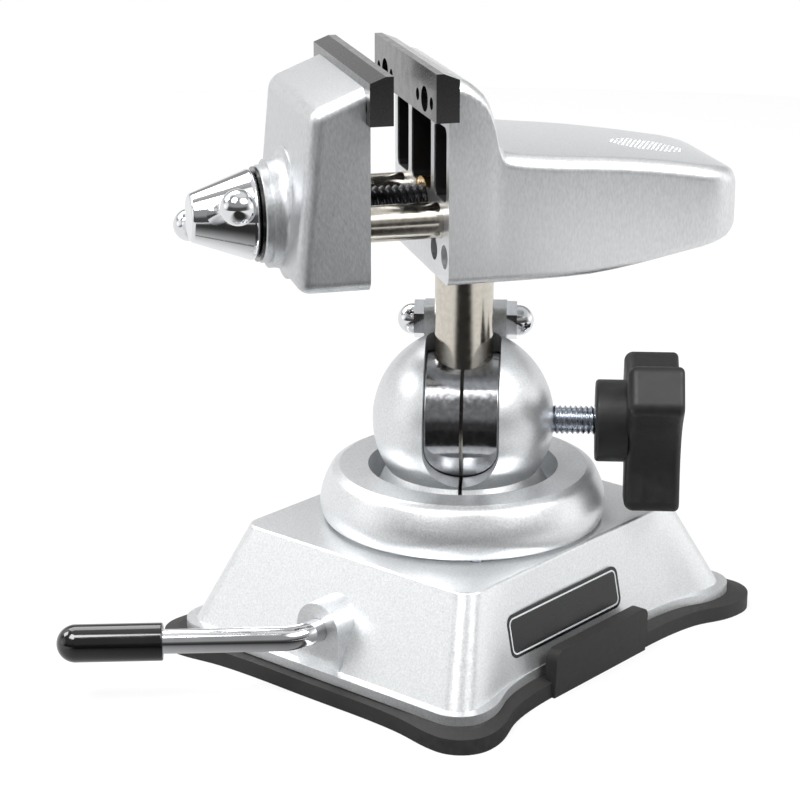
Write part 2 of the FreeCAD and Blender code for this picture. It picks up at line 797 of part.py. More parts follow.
def head_tail():
    """The long tail behind the fixed jaw."""
    rows = zip(station_shares, crown_shares, shoulder_drop_shares, floor_shares)
    crowned = Part.makeLoft([tail_section(*row) for row in rows], True, False)
    plan = Part.makeLoft([tail_plan(0, head_bottom), tail_plan(tail_draft, block_top)], True, True)
    tail = crowned.common(plan)
    oval = Part.Ellipse(Vector(-oval_centre, 0, jaw_axis), oval_half_length, oval_half_width).toShape()
    post = Part.Face(Part.Wire([oval])).extrude(Vector(0, 0, block_top - jaw_axis))
    lowered = tail.copy()
    lowered.translate(Vector(0, 0, -oval_depth))
    return tail.cut(post.cut(lowered))


def pocket(w_low, w_high):
    """A cored pocket in the jaw face with rounded upright corners."""
    hollow = slab(fixed_face - pocket_depth, fixed_face + overrun, w_low, w_high, pocket_low, pocket_high)
    along = [edge for edge in hollow.Edges if edge.BoundBox.XLength > pocket_depth]
    return hollow.makeFillet(pocket_corner, along)


def head_body():
    """Casting that carries the fixed jaw, the guide bores and the socket of the shaft."""
    body = jaw_block().fuse(head_tail())
    body = body.cut(pocket(-centre_pocket_half_width, centre_pocket_half_width))
    body = body.cut(pocket(side_pocket_inner, side_pocket_outer))
    body = body.cut(pocket(-side_pocket_outer, -side_pocket_inner))
    for w in (-guide_spacing, guide_spacing):
        body = body.cut(bar(guide_radius + running_gap, -bore_depth, fixed_face + overrun, w, jaw_axis))
    body = body.cut(bar(screw_passage_radius, -bore_depth, fixed_face + overrun, 0, jaw_axis))
    body = body.cut(bar(lead_nut_radius, -lead_nut_back, fixed_face + overrun, 0, jaw_axis))
    for w in (-blind_outer, -blind_inner, blind_inner, blind_outer):
        body = body.cut(bar(blind_radius, fixed_face - blind_depth, fixed_face + overrun, w, blind_height))
    for w in (-pad_hole_spacing, pad_hole_spacing):
        start = fixed_shelf - pad_screw_reach
        body = body.cut(bar(pad_screw_radius, start, fixed_shelf + overrun, w, pad_hole_height))
    body = body.cut(Part.makeCylinder(shaft_radius, shaft_top - head_bottom + overrun, Vector(0, 0, head_bottom - overrun)))
    return turned(body.removeSplitter(), head_angle)


def lead_nut():
    """Insert pressed into the head, in which the lead screw runs."""
    nut = bar(lead_nut_radius, -lead_nut_back, lead_nut_face, 0, jaw_axis)
    bore = bar(lead_radius + lead_fit, -lead_nut_back - overrun, lead_nut_face + overrun, 0, jaw_axis)
    return turned(nut.cut(bore), head_angle)


def jaw_pad(back, face):
    """Nylon jaw pad between its seat and its gripping face, with its screw holes."""
    inward = math.copysign(pad_flat, face - back)
    edges = chain([
        Vector(back, 0, shelf_height),
        Vector(face, 0, shelf_height),
        Vector(face, 0, pad_top),
        Vector(face - inward, 0, pad_top),
        Vector(back, 0, pad_top - pad_back_drop),
        Vector(back, 0, shelf_height),
    ])
    profile = face_of(edges)
    profile.translate(Vector(0, -pad_length / 2.0, 0))
    pad = profile.extrude(Vector(0, pad_length, 0))
    low = min(back, face)
    high = max(back, face)
    seat = back + math.copysign(pad_screw_seat, face - back)
    wide_low = min(seat, face + math.copysign(overrun, face - back))
    wide_high = max(seat, face + math.copysign(overrun, face - back))
    for w in (-pad_hole_spacing, pad_hole_spacing):
        pad = pad.cut(bar(pad_hole_radius, wide_low, wide_high, w, pad_hole_height))
        pad = pad.cut(bar(pad_screw_radius + running_gap, low - overrun, high + overrun, w, pad_hole_height))
        for offset in (-pad_side_hole_offset, pad_side_hole_offset):
            pad = pad.cut(bar(pad_side_hole_radius, low - overrun, high + overrun, w + offset, pad_hole_height))
    return turned(pad, head_angle)


def jaw_screws(back, face):
    """Socket head screws sunk in a jaw pad, one solid each."""
    direction = math.copysign(1.0, face - back)
    seat = back + direction * pad_screw_seat
    crown = seat + direction * pad_screw_head_height
    tip = back - direction * pad_screw_reach
    floor = crown - direction * pad_screw_socket_depth
    screws = []
    for w in (-pad_hole_spacing, pad_hole_spacing):
        screw = bar(pad_screw_radius, min(tip, seat), max(tip, seat), w, pad_hole_height)
        screw = screw.fuse(bar(pad_screw_head_radius, min(seat, crown), max(seat, crown), w, pad_hole_height))
        screw = screw.removeSplitter()
        screw = screw.cut(bar(pad_screw_socket, min(floor, crown), max(floor, crown), w, pad_hole_height))
        screws.append(screw)
    return turned(Part.makeCompound(screws), head_angle)


def movable_jaw():
    """Sliding jaw with rounded back, stepped boss and seats for its rods."""
    top_a = movable_back - movable_top_round
    bottom_a = movable_back - movable_bottom_round
    top_z = movable_top - movable_top_round
    bottom_z = head_bottom + movable_bottom_round
    bevel_share = math.sqrt(0.5)
    edges = chain([
        Vector(bottom_a, 0, head_bottom),
        Vector(movable_face, 0, head_bottom),
        Vector(movable_face, 0, shelf_height),
        Vector(movable_shelf, 0, shelf_height),
        Vector(movable_shelf, 0, movable_top),
        Vector(top_a, 0, movable_top),
    ])
    top_middle = Vector(top_a + bevel_share * movable_top_round, 0, top_z + bevel_share * movable_top_round)
    bottom_middle = Vector(bottom_a + bevel_share * movable_bottom_round, 0,
                           bottom_z - bevel_share * movable_bottom_round)
    edges.append(arc(Vector(top_a, 0, movable_top), top_middle, Vector(movable_back, 0, top_z)))
    edges.append(Part.makeLine(Vector(movable_back, 0, top_z), Vector(movable_back, 0, bottom_z)))
    edges.append(arc(Vector(movable_back, 0, bottom_z), bottom_middle, Vector(bottom_a, 0, head_bottom)))
    side = face_of(edges)
    side.translate(Vector(0, -jaw_half_width, 0))
    jaw = side.extrude(Vector(0, 2 * jaw_half_width, 0))
    plan = slab(movable_face - overrun, movable_back, -jaw_half_width, jaw_half_width, head_bottom - overrun, movable_top + overrun)
    upright = [edge for edge in plan.Edges
               if edge.BoundBox.XMin > movable_back - seat_gap and edge.BoundBox.ZLength > movable_top_round]
    jaw = jaw.common(plan.makeFillet(movable_corner, upright))
    jaw = jaw.fuse(bar(boss_root_radius, boss_root, boss_step, 0, jaw_axis))
    jaw = jaw.fuse(bar(boss_end_radius, boss_root, boss_end, 0, jaw_axis))
    jaw = jaw.removeSplitter()
    for w in (-guide_spacing, guide_spacing):
        jaw = jaw.cut(bar(guide_radius, movable_face - overrun, guide_front, w, jaw_axis))
    for w in (-pad_hole_spacing, pad_hole_spacing):
        jaw = jaw.cut(bar(pad_screw_radius, movable_shelf - overrun, movable_shelf + pad_screw_reach, w, pad_hole_height))
    jaw = jaw.cut(bar(neck_radius + running_gap, movable_face - overrun, boss_end + overrun, 0, jaw_axis))
    pocket_end = movable_face + collar_thickness + seat_gap
    jaw = jaw.cut(bar(collar_radius + seat_gap, movable_face - overrun, pocket_end, 0, jaw_axis))
    return turned(jaw, head_angle)


def guide_rods():
    """Two ground rods that are pressed into the movable jaw, one solid each."""
    rods = [bar(guide_radius, -guide_back, guide_front, w, jaw_axis) for w in (-guide_spacing, guide_spacing)]
    return turned(Part.makeCompound(rods), head_angle)


def lead_screw():
    """Screw between the jaws with a plain neck out to the knob."""
    screw = bar(lead_radius, -lead_back, lead_front, 0, jaw_axis)
    neck = bar(neck_radius, lead_front, neck_end, 0, jaw_axis)
    return turned(screw.fuse(neck), head_angle)


def thrust_collar():
    """Collar pinned on the neck, which draws the jaw back."""
    collar = bar(collar_radius, movable_face, movable_face + collar_thickness, 0, jaw_axis)
    hole = bar(neck_radius, movable_face - overrun, movable_face + collar_thickness + overrun, 0, jaw_axis)
    return turned(collar.cut(hole), head_angle)


def jaw_knob_washer():
    """Thin dark washer between the boss and the knob."""
    washer = bar(washer_radius, washer_start, washer_start + washer_thickness, 0, jaw_axis)
    hole = bar(neck_radius, washer_start - overrun, washer_start + overrun, 0, jaw_axis)
    return turned(washer.cut(hole), head_angle)


def bar_direction():
    """Direction of the cross bar across the screw."""
    tilt = math.radians(bar_tilt)
    return Vector(0, math.cos(tilt), math.sin(tilt))


def jaw_knob():
    """Chromed cone on the end of the screw, bored for the cross bar."""
    start = washer_start + washer_thickness
    cone = Part.makeCone(cone_wide_radius, cone_narrow_radius, cone_end - start, Vector(start, 0, jaw_axis), Vector(1, 0, 0))
    rim = [edge for edge in cone.Edges if edge.BoundBox.XMax < start + seat_gap]
    cone = cone.makeFillet(cone_edge, rim)
    tip = [edge for edge in cone.Edges if edge.BoundBox.XMin > cone_end - seat_gap]
    cone = cone.makeFillet(cone_tip_edge, tip)
    cone = cone.cut(bar(neck_radius, start - overrun, neck_end, 0, jaw_axis))
    direction = bar_direction()
    centre = Vector(bar_place, 0, jaw_axis)
    hole = Part.makeCylinder(bar_radius, 2 * bar_reach, centre - direction * bar_reach, direction)
    return turned(cone.cut(hole), head_angle)


def cross_bar():
    """Bar through the knob with a ball on each end."""
    direction = bar_direction()
    centre = Vector(bar_place, 0, jaw_axis)
    whole = Part.makeCylinder(bar_radius, 2 * bar_reach, centre - direction * bar_reach, direction)
    for sign in (-1, 1):
        whole = whole.fuse(Part.makeSphere(bar_ball_radius, centre + direction * (sign * bar_reach)))
    return turned(whole, head_angle)


def bored_lead_screw():
    """The lead screw with the cross hole that the bar passes through."""
    direction = bar_direction()
    direction = Vector(direction.x, direction.y, direction.z)
    centre = Vector(bar_place, 0, jaw_axis)
    hole = Part.makeCylinder(bar_radius, 2 * bar_reach, centre - direction * bar_reach, direction)
    return lead_screw().cut(turned(hole, head_angle))


def sub_parts():
    """Every named piece of the vise with its solid or solids."""
    housing = base_housing()
    return {
        "base_housing": housing,
        "label_plate": label_plate(housing),
        "turret_ring": turret_ring(),
        "ring_screws": ring_screws(),
        "vacuum_pad": vacuum_pad(),
        "lever_rod": lever_rod(),
        "lever_grip": lever_grip(),
        "lever_cam": lever_cam(),
        "lever_retaining_clip": lever_retaining_clip(),
        "pad_plate": pad_plate(),
        "pad_yoke": pad_yoke(),
        "ball_half_left": ball_half(-1),
        "ball_half_right": ball_half(1),
        "tie_rod": tie_rod(),
        "acorn_nuts": acorn_nuts(),
        "clamp_half_left": clamp_half(-1),
        "clamp_half_right": clamp_half(1),
        "clamp_knob_stud": clamp_knob_stud(),
        "clamp_knob": clamp_knob(),
        "head_shaft": head_shaft(),
        "head_body": head_body(),
        "lead_nut": lead_nut(),
        "fixed_jaw_pad": jaw_pad(fixed_shelf, fixed_pad_face),
        "fixed_jaw_screws": jaw_screws(fixed_shelf, fixed_pad_face),
        "movable_jaw": movable_jaw(),
        "movable_jaw_pad": jaw_pad(movable_shelf, movable_pad_face),
        "movable_jaw_screws": jaw_screws(movable_shelf, movable_pad_face),
        "guide_rods": guide_rods(),
        "lead_screw": bored_lead_screw(),
        "thrust_collar": thrust_collar(),
        "jaw_knob_washer": jaw_knob_washer(),
        "jaw_knob": jaw_knob(),
        "cross_bar": cross_bar(),
    }


os.makedirs("parts", exist_ok=True)
for name, shape in sub_parts().items():
    shape.exportStep(os.path.join("parts", name + ".step"))
    print(name, "solids", len(shape.Solids), "volume", round(shape.Volume, 1), "valid", shape.isValid())
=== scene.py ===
# %% [markdown]
# A small bench vise that holds itself down with a rubber suction pad. The measured model gives every
# piece its place. This lesson dresses it with finishes, draws two castings again with their soft edges,
# cuts the threads, and sets up light and a camera. The frame is loaded first, since later steps need it.

# %% Load the measured frame
import bmesh
import bpy
import math
from mathutils import Matrix, Vector


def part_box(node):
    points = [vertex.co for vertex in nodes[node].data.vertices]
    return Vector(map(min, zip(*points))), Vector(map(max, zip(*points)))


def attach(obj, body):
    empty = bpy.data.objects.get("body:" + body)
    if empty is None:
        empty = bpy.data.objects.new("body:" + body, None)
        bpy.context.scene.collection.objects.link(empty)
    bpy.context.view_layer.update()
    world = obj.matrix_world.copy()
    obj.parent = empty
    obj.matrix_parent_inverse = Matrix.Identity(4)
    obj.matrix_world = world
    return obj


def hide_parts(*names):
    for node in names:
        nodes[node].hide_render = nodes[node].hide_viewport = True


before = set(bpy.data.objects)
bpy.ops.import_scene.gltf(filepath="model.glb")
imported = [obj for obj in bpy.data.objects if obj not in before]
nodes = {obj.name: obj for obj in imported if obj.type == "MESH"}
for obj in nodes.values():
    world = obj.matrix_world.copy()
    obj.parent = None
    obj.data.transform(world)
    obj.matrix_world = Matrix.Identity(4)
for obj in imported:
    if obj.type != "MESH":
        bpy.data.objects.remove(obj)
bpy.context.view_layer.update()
print("pieces in the frame:", len(nodes))

# %% [markdown]
# The swivel and the head stand turned on the base, as they were when the vise was pictured. Everything
# on the swivel is easiest to think of in the swivel's own directions, and the same goes for the head.
# Sizes are written in millimetres and multiplied by MM, since Blender works in metres.

# %% Directions and places of the main assemblies
MM = 0.001
TURRET_TURN = math.radians(-53.0)
HEAD_TURN = math.radians(145.0)
BALL_HEIGHT, JAW_AXIS = 60.75, 121.3


def on_turret(along, across, up):
    """A place given along the knob's axis, across it and up, as a place in the frame."""
    return Matrix.Rotation(TURRET_TURN, 3, "Z") @ Vector((along, across, up))


def on_head(along, across, up):
    """A place given along the screw, across it and up, as a place in the frame."""
    return Matrix.Rotation(HEAD_TURN, 3, "Z") @ Vector((along, across, up))


print("knob axis points to", [round(value, 3) for value in on_turret(1, 0, 0)])

# %% [markdown]
# Every material and every Geometry Nodes tree is a set of nodes with values and links. One small
# function adds any of them. Colours are written as the usual screen hex values, and one function turns
# them into the linear numbers that a renderer mixes.

# %% Helpers for nodes, colours and grain sizes
def add(tree, kind, inputs=None, **settings):
    """Add a node, apply its settings, then give its inputs a value or the output that feeds them.

    A node given as an input stands for its first output.
    """
    new = tree.nodes.new(kind)
    for name, value in settings.items():
        setattr(new, name, value)
    for key, value in (inputs or {}).items():
        if isinstance(value, bpy.types.Node):
            value = value.outputs[0]
        if isinstance(value, bpy.types.NodeSocket):
            tree.links.new(value, new.inputs[key])
        else:
            new.inputs[key].default_value = value
    return new


def linear(hex_colour):
    """A linear RGBA colour from an sRGB hex value."""
    channels = [int(hex_colour[start:start + 2], 16) / 255 for start in (1, 3, 5)]
    return [c / 12.92 if c <= 0.04045 else ((c + 0.055) / 1.055) ** 2.4 for c in channels] + [1.0]


def per_metre(size_mm):
    """The texture scale that makes one feature of a noise about this many millimetres wide."""
    return 1.0 / (size_mm * MM)


print("mid grey becomes", [round(value, 3) for value in linear("#808080")])

# %% [markdown]
# A finish starts as one Principled shader with the constants of the real material on its own sockets.
# Two noises then break it up: one drifts the colour and the gloss, over flakes, stains or polishing
# marks, and a finer one raises a grain. The head's castings read theirs along the head's own directions,
# so a Mapping node turns the coordinates back first.

# %% The common start of every finish
def start_finish(name, colour, metallic, roughness, turn=0.0, **constants):
    """A material with its shader, and coordinates that follow the piece."""
    material = bpy.data.materials.new(name)
    material.use_nodes = True
    tree = material.node_tree
    shader = tree.nodes["Principled BSDF"]
    shader.inputs["Base Color"].default_value = linear(colour)
    shader.inputs["Metallic"].default_value = metallic
    shader.inputs["Roughness"].default_value = roughness
    for socket, value in constants.items():
        shader.inputs[socket.replace("_", " ")].default_value = value
    place = add(tree, "ShaderNodeTexCoord").outputs["Object"]
    if turn:
        place = add(tree, "ShaderNodeMapping", {"Vector": place, "Rotation": (0, 0, -turn)})
    return material, tree, shader, place


def tint(tree, shader, place, size_mm, dark, light, detail=3.0):
    """Drift the colour between two tones over patches of one size."""
    patches = add(tree, "ShaderNodeTexNoise",
                  {"Vector": place, "Scale": per_metre(size_mm), "Detail": detail})
    mixed = add(tree, "ShaderNodeMix", {0: patches.outputs["Fac"], 6: linear(dark), 7: linear(light)},
                data_type="RGBA")
    tree.links.new(mixed.outputs[2], shader.inputs["Base Color"])
    return patches.outputs["Fac"]


def overprint(tree, shader, where, colour):
    """Lay one colour over the base colour where a mask is one."""
    under = shader.inputs["Base Color"].links[0].from_socket
    mixed = add(tree, "ShaderNodeMix", {0: where, 6: under, 7: linear(colour)}, data_type="RGBA")
    tree.links.new(mixed.outputs[2], shader.inputs["Base Color"])


def gloss(tree, shader, pattern, smooth, rough, low=0.35, high=0.65):
    """Drift the roughness between two values with a pattern."""
    ranged = add(tree, "ShaderNodeMapRange", {0: pattern, 1: low, 2: high, 3: smooth, 4: rough})
    tree.links.new(ranged.outputs[0], shader.inputs["Roughness"])


def grain(tree, shader, place, size_mm, depth_mm, stretch=(1, 1, 1), detail=2.0, under=None):
    """Raise a fine grain, drawn out along some directions where stretch is below one."""
    drawn = add(tree, "ShaderNodeMapping", {"Vector": place, "Scale": stretch})
    noise = add(tree, "ShaderNodeTexNoise",
                {"Vector": drawn, "Scale": per_metre(size_mm), "Detail": detail})
    inputs = {"Height": noise.outputs["Fac"], "Distance": depth_mm * MM}
    if under is not None:
        inputs["Normal"] = under
    bump = add(tree, "ShaderNodeBump", inputs)
    tree.links.new(bump.outputs["Normal"], shader.inputs["Normal"])
    return bump.outputs["Normal"]


finishes = {}

# %% [markdown]
# The base, the ring and the ball are zinc die castings with a satin silver lacquer. Its metal flakes lie
# at all angles, so part of the light comes back evenly and part as a broad soft highlight: Metallic stays
# below one. The flakes show as a pearly grain of about half a millimetre, in tone and in height.

# %% Satin zinc die casting
FLAKE_SHARE = 0.85
FLAKE_SIZE, FLAKE_DETAIL, FLAKE_DRIFT = 0.5, 1.0, 0.03
PEARL_SIZE, PEARL_DEPTH = 0.45, 0.02


def die_casting(name, tone_dark, tone_light, roughness):
    """Silver lacquer on zinc with a pearly grain of metal flakes."""
    material, tree, shader, place = start_finish(name, tone_light, FLAKE_SHARE, roughness)
    flakes = tint(tree, shader, place, FLAKE_SIZE, tone_dark, tone_light, FLAKE_DETAIL)
    gloss(tree, shader, flakes, roughness - FLAKE_DRIFT, roughness + FLAKE_DRIFT)
    grain(tree, shader, place, PEARL_SIZE, PEARL_DEPTH, detail=FLAKE_DETAIL)
    return material


finishes["satin_zinc"] = die_casting("satin_zinc_die_casting", "#C9CCCE", "#F2F3F4", 0.36)
print("satin zinc ready")

# %% [markdown]
# The head and its sliding jaw are aluminium castings whose outsides were linished on a belt. That
# leaves short fine lines, so the noise is drawn out along one direction and two such layers cross at a
# small angle. The jaw was worked with a coarser belt, so it is darker and its grain is deeper.

# %% Linished aluminium casting
LINE_STRETCH = 0.35
LINE_SIZE, SECOND_LINE_SIZE, SECOND_LINE_SHARE = 0.3, 0.4, 0.7
CROSS_ANGLE = 8


def linished(name, tone_dark, tone_light, roughness, tilt, depth_mm):
    """Belt-finished aluminium: short fine lines in two directions that cross."""
    material, tree, shader, place = start_finish(name, tone_light, FLAKE_SHARE, roughness, HEAD_TURN)
    stretch = (1, 1, LINE_STRETCH)
    lean, crossing = (0, math.radians(tilt), 0), (0, math.radians(-tilt - CROSS_ANGLE), 0)
    along = add(tree, "ShaderNodeMapping", {"Vector": place, "Rotation": lean, "Scale": stretch})
    lines = tint(tree, shader, along, FLAKE_SIZE, tone_dark, tone_light, FLAKE_DETAIL)
    gloss(tree, shader, lines, roughness - FLAKE_DRIFT, roughness + FLAKE_DRIFT)
    leaned = add(tree, "ShaderNodeMapping", {"Vector": place, "Rotation": lean})
    first = grain(tree, shader, leaned, LINE_SIZE, depth_mm, stretch)
    crossed = add(tree, "ShaderNodeMapping", {"Vector": place, "Rotation": crossing})
    grain(tree, shader, crossed, SECOND_LINE_SIZE, depth_mm * SECOND_LINE_SHARE, stretch, under=first)
    return material


# Name, dark tone, light tone and roughness, then the lines' lean in degrees and their depth in mm
finishes["linished_head"] = linished("linished_aluminium_tail", "#CDCFD1", "#F0F1F2", 0.36, 12.0, 0.014)
finishes["linished_jaw"] = linished("linished_aluminium_jaw", "#AEB1B3", "#DADBDD", 0.38, 30.0, 0.03)
print("linished aluminium ready")

# %% [markdown]
# Inside the cored pockets of the fixed jaw the colour is darkened: this is painted shade for the deep
# recesses. A box written in the head's own directions tells the material where that is.

# %% Painted shade inside the pockets
POCKET_CENTRE = (6.9 * MM, 0, 136.75 * MM)
POCKET_HALF = (5.05 * MM, 25.2 * MM, 10.05 * MM)
EDGE_FADE = 0.4 * MM
tree = finishes["linished_head"].node_tree
shader = tree.nodes["Principled BSDF"]
spot = add(tree, "ShaderNodeTexCoord").outputs["Object"]
spot = add(tree, "ShaderNodeMapping", {"Vector": spot, "Rotation": (0, 0, -HEAD_TURN)})
spot = add(tree, "ShaderNodeVectorMath", {0: spot, 1: POCKET_CENTRE}, operation="SUBTRACT")
spot = add(tree, "ShaderNodeVectorMath", {0: spot}, operation="ABSOLUTE")
spot = add(tree, "ShaderNodeVectorMath", {0: spot, 1: POCKET_HALF}, operation="SUBTRACT")
parts = add(tree, "ShaderNodeSeparateXYZ", {0: spot}).outputs
past = add(tree, "ShaderNodeMath", {0: parts["X"], 1: parts["Y"]}, operation="MAXIMUM")
past = add(tree, "ShaderNodeMath", {0: past, 1: parts["Z"]}, operation="MAXIMUM")
inside = add(tree, "ShaderNodeMapRange", {0: past, 1: -EDGE_FADE, 2: 0.0, 3: 1.0, 4: 0.0})
# Painted shade: a dark grey laid over the pockets' insides, where the deep recesses fall into shade
overprint(tree, shader, inside, "#4A4A4C")
print("pocket half sizes in metres:", POCKET_HALF)

# %% [markdown]
# Chrome plate on polished steel is close to a mirror. A trace of low waves bends the reflections, as
# plating over a drawn bar does. The clamp halves rub in their slot, so their chrome is darker and
# patchy. Nickel is warmer and a little softer, with faint stains from handling. Zinc plate is bluish
# and duller, the lead screw is black oxide, and its nut is turned brass.

# %% Plated steels
def plated(name, tone_dark, tone_light, roughness, wave_mm=2.5, depth_mm=0.004, patch_mm=6.0):
    """Polished and plated steel with low waves and faint patches."""
    material, tree, shader, place = start_finish(name, tone_light, 1.0, roughness)
    drift = tint(tree, shader, place, patch_mm, tone_dark, tone_light)
    gloss(tree, shader, drift, max(roughness - 0.03, 0.02), roughness + 0.04)
    grain(tree, shader, place, wave_mm, depth_mm)
    return material


# Name, dark tone, light tone and roughness, then the waves' width and depth and the patches' width in mm
finishes["chrome"] = plated("bright_chrome_plate", "#DCDDE0", "#EDEEF0", 0.07)
finishes["worn_chrome"] = plated("worn_chrome_plate", "#7E7F82", "#BEBFC2", 0.13, 1.2, 0.008, 1.4)
finishes["nickel"] = plated("ground_nickel_plate", "#BFB8AC", "#E4DFD6", 0.16, 1.0, 0.003, 1.6)
finishes["zinc"] = plated("bright_zinc_plate", "#B4B9C2", "#CDD2DA", 0.27, 0.5, 0.006, 2.0)
finishes["oxide"] = plated("black_oxide_steel", "#39393B", "#6C6C6F", 0.24, 0.5, 0.006, 2.0)
finishes["brass"] = plated("turned_brass", "#B08D4C", "#C7A566", 0.25, 0.5, 0.006, 2.0)
print("plated steels ready")

# %% [markdown]
# The dark pieces are four different polymers. The pad is matt moulded rubber with dust in its pores,
# the grip is dipped vinyl with a wet gloss, the jaw pads are hard smooth nylon, and the clamp knob is a
# filled moulding with the fine spark texture of its mould.

# %% Rubber, vinyl, nylon and the knob's moulding
def polymer(name, tone_dark, tone_light, roughness, patch_mm, grain_mm, depth_mm, **constants):
    """A moulded or dipped polymer with a drifting tone and a fine skin."""
    material, tree, shader, place = start_finish(name, tone_light, 0.0, roughness, **constants)
    drift = tint(tree, shader, place, patch_mm, tone_dark, tone_light, detail=5.0)
    gloss(tree, shader, drift, max(roughness - 0.05, 0.05), roughness + 0.06)
    grain(tree, shader, place, grain_mm, depth_mm)
    return material


# Name, dark tone, light tone and roughness, then the patches' width and the skin's grain and depth in mm
finishes["rubber"] = polymer("moulded_black_rubber", "#1C1B1B", "#2E2C2B", 0.62, 1.6, 0.7, 0.03)
finishes["vinyl"] = polymer("dipped_black_vinyl", "#050506", "#0A0A0B", 0.12, 8.0, 3.0, 0.006,
                            Coat_Weight=0.6)
finishes["nylon"] = polymer("moulded_black_nylon", "#0A0A0B", "#131314", 0.24, 3.0, 1.4, 0.004,
                            Coat_Weight=0.6, Coat_IOR=1.4, Coat_Roughness=0.1)
finishes["knob"] = polymer("textured_black_moulding", "#131314", "#1E1E20", 0.5, 2.5, 0.35, 0.025)
finishes["plate"] = polymer("printed_black_film", "#0B0C0E", "#131417", 0.22, 6.0, 2.0, 0.004)
print("polymers ready")

# %% [markdown]
# The bare label keeps only its printed border, a thin silver line with rounded corners. How far a point
# lies from a rounded rectangle takes a few steps: fold it on to one quarter, move to the corner's centre,
# and measure from there. The line is where that distance is close to the wanted inset.

# %% Silver border on the label
LINE_INSET, LINE_HALF_WIDTH, LINE_CORNER = 1.1 * MM, 0.22 * MM, 1.7 * MM
plate_low, plate_high = (Vector(corner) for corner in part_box("label_plate"))
middle = (plate_low + plate_high) / 2
half = (plate_high - plate_low) / 2
half = Vector((half.x - LINE_INSET - LINE_CORNER, 0, half.z - LINE_INSET - LINE_CORNER))
tree = finishes["plate"].node_tree
shader = tree.nodes["Principled BSDF"]
spot = add(tree, "ShaderNodeTexCoord").outputs["Object"]
spot = add(tree, "ShaderNodeVectorMath", {0: spot, 1: middle}, operation="SUBTRACT")
spot = add(tree, "ShaderNodeVectorMath", {0: spot, 1: (1, 0, 1)}, operation="MULTIPLY")
spot = add(tree, "ShaderNodeVectorMath", {0: spot}, operation="ABSOLUTE")
spot = add(tree, "ShaderNodeVectorMath", {0: spot, 1: half}, operation="SUBTRACT")
parts = add(tree, "ShaderNodeSeparateXYZ", {0: spot}).outputs
inner = add(tree, "ShaderNodeMath", {0: parts["X"], 1: parts["Z"]}, operation="MAXIMUM")
inner = add(tree, "ShaderNodeMath", {0: inner, 1: 0.0}, operation="MINIMUM")
outer = add(tree, "ShaderNodeVectorMath", {0: spot, 1: (0, 0, 0)}, operation="MAXIMUM")
outer = add(tree, "ShaderNodeVectorMath", {0: outer}, operation="LENGTH").outputs["Value"]
far = add(tree, "ShaderNodeMath", {0: inner, 1: outer}, operation="ADD")
line = add(tree, "ShaderNodeMath", {0: far, 1: LINE_CORNER, 2: LINE_HALF_WIDTH}, operation="COMPARE")
overprint(tree, shader, line, "#C9CCCE")
print("label half sizes in metres:", [round(value, 4) for value in half])

# %% [markdown]
# Each measured piece now takes its finish. Pieces that are drawn again further down take it there too.

# %% Give the measured pieces their finishes
wearing = {
    "satin_zinc": ["base_housing", "turret_ring", "ball_half_left", "ball_half_right"],
    "linished_head": ["head_body"],
    "linished_jaw": ["movable_jaw"],
    "chrome": ["lever_rod", "jaw_knob", "cross_bar", "acorn_nuts"],
    "worn_chrome": ["clamp_half_left", "clamp_half_right"],
    "nickel": ["head_shaft", "guide_rods"],
    "zinc": ["clamp_knob_stud", "tie_rod", "ring_screws", "pad_plate", "pad_yoke", "lever_cam",
             "lever_retaining_clip", "thrust_collar"],
    "oxide": ["lead_screw", "fixed_jaw_screws", "movable_jaw_screws"],
    "brass": ["lead_nut"],
    "rubber": ["vacuum_pad"],
    "vinyl": ["lever_grip"],
    "nylon": ["fixed_jaw_pad", "movable_jaw_pad", "jaw_knob_washer"],
    "knob": ["clamp_knob"],
    "plate": ["label_plate"],
}


def dress(piece, finish):
    """Give every face of a piece one finish."""
    piece.data.materials.clear()
    piece.data.materials.append(finishes[finish])


for finish, names in wearing.items():
    for name in names:
        dress(nodes[name], finish)
print("dressed:", sum(len(names) for names in wearing.values()))

# %% [markdown]
# Three pieces are threaded. A Geometry Nodes tree rolls a flat grid into the thread's skin: one way round
# the axis, the other along it, and the radius dips once for each turn of the helix. At both ends the dip
# runs out to the full depth, so the skin meets the plain core that mesh code puts inside it.

# %% Threads
ROUND_STEPS = 40
STEPS_PER_TURN = 8
LATHE_STEPS = 48
SEAM = 0.001 * MM
THREAD_EDGE = math.radians(35)
# Each row names a result, says how it is worked out, and gives what it is worked out from
THREAD_SUMS = [
    ("turns", "ADD", "x on grid", 0.5),
    ("share", "ADD", "y on grid", 0.5),
    ("along", "MULTIPLY", "share", "length"),
    ("angle", "MULTIPLY", "turns", math.tau),
    ("pitches", "DIVIDE", "along", "pitch"),
    ("phase", "SUBTRACT", "pitches", "turns"),
    ("half dip", "PINGPONG", "phase", 0.5),
    ("dip", "MULTIPLY", "half dip", 2.0),
    ("to far end", "SUBTRACT", "length", "along"),
    ("to an end", "MINIMUM", "along", "to far end"),
    ("end pitches", "DIVIDE", "to an end", "pitch"),
    ("fade", "SUBTRACT", 1.0, "end pitches"),
    ("whole dip", "MAXIMUM", "dip", "fade"),
    ("sunk", "MULTIPLY", "whole dip", "depth"),
    ("skin radius", "SUBTRACT", "radius", "sunk"),
    ("cosine", "COSINE", "angle"),
    ("sine", "SINE", "angle"),
    ("x", "MULTIPLY", "skin radius", "cosine"),
    ("y", "MULTIPLY", "skin radius", "sine"),
]


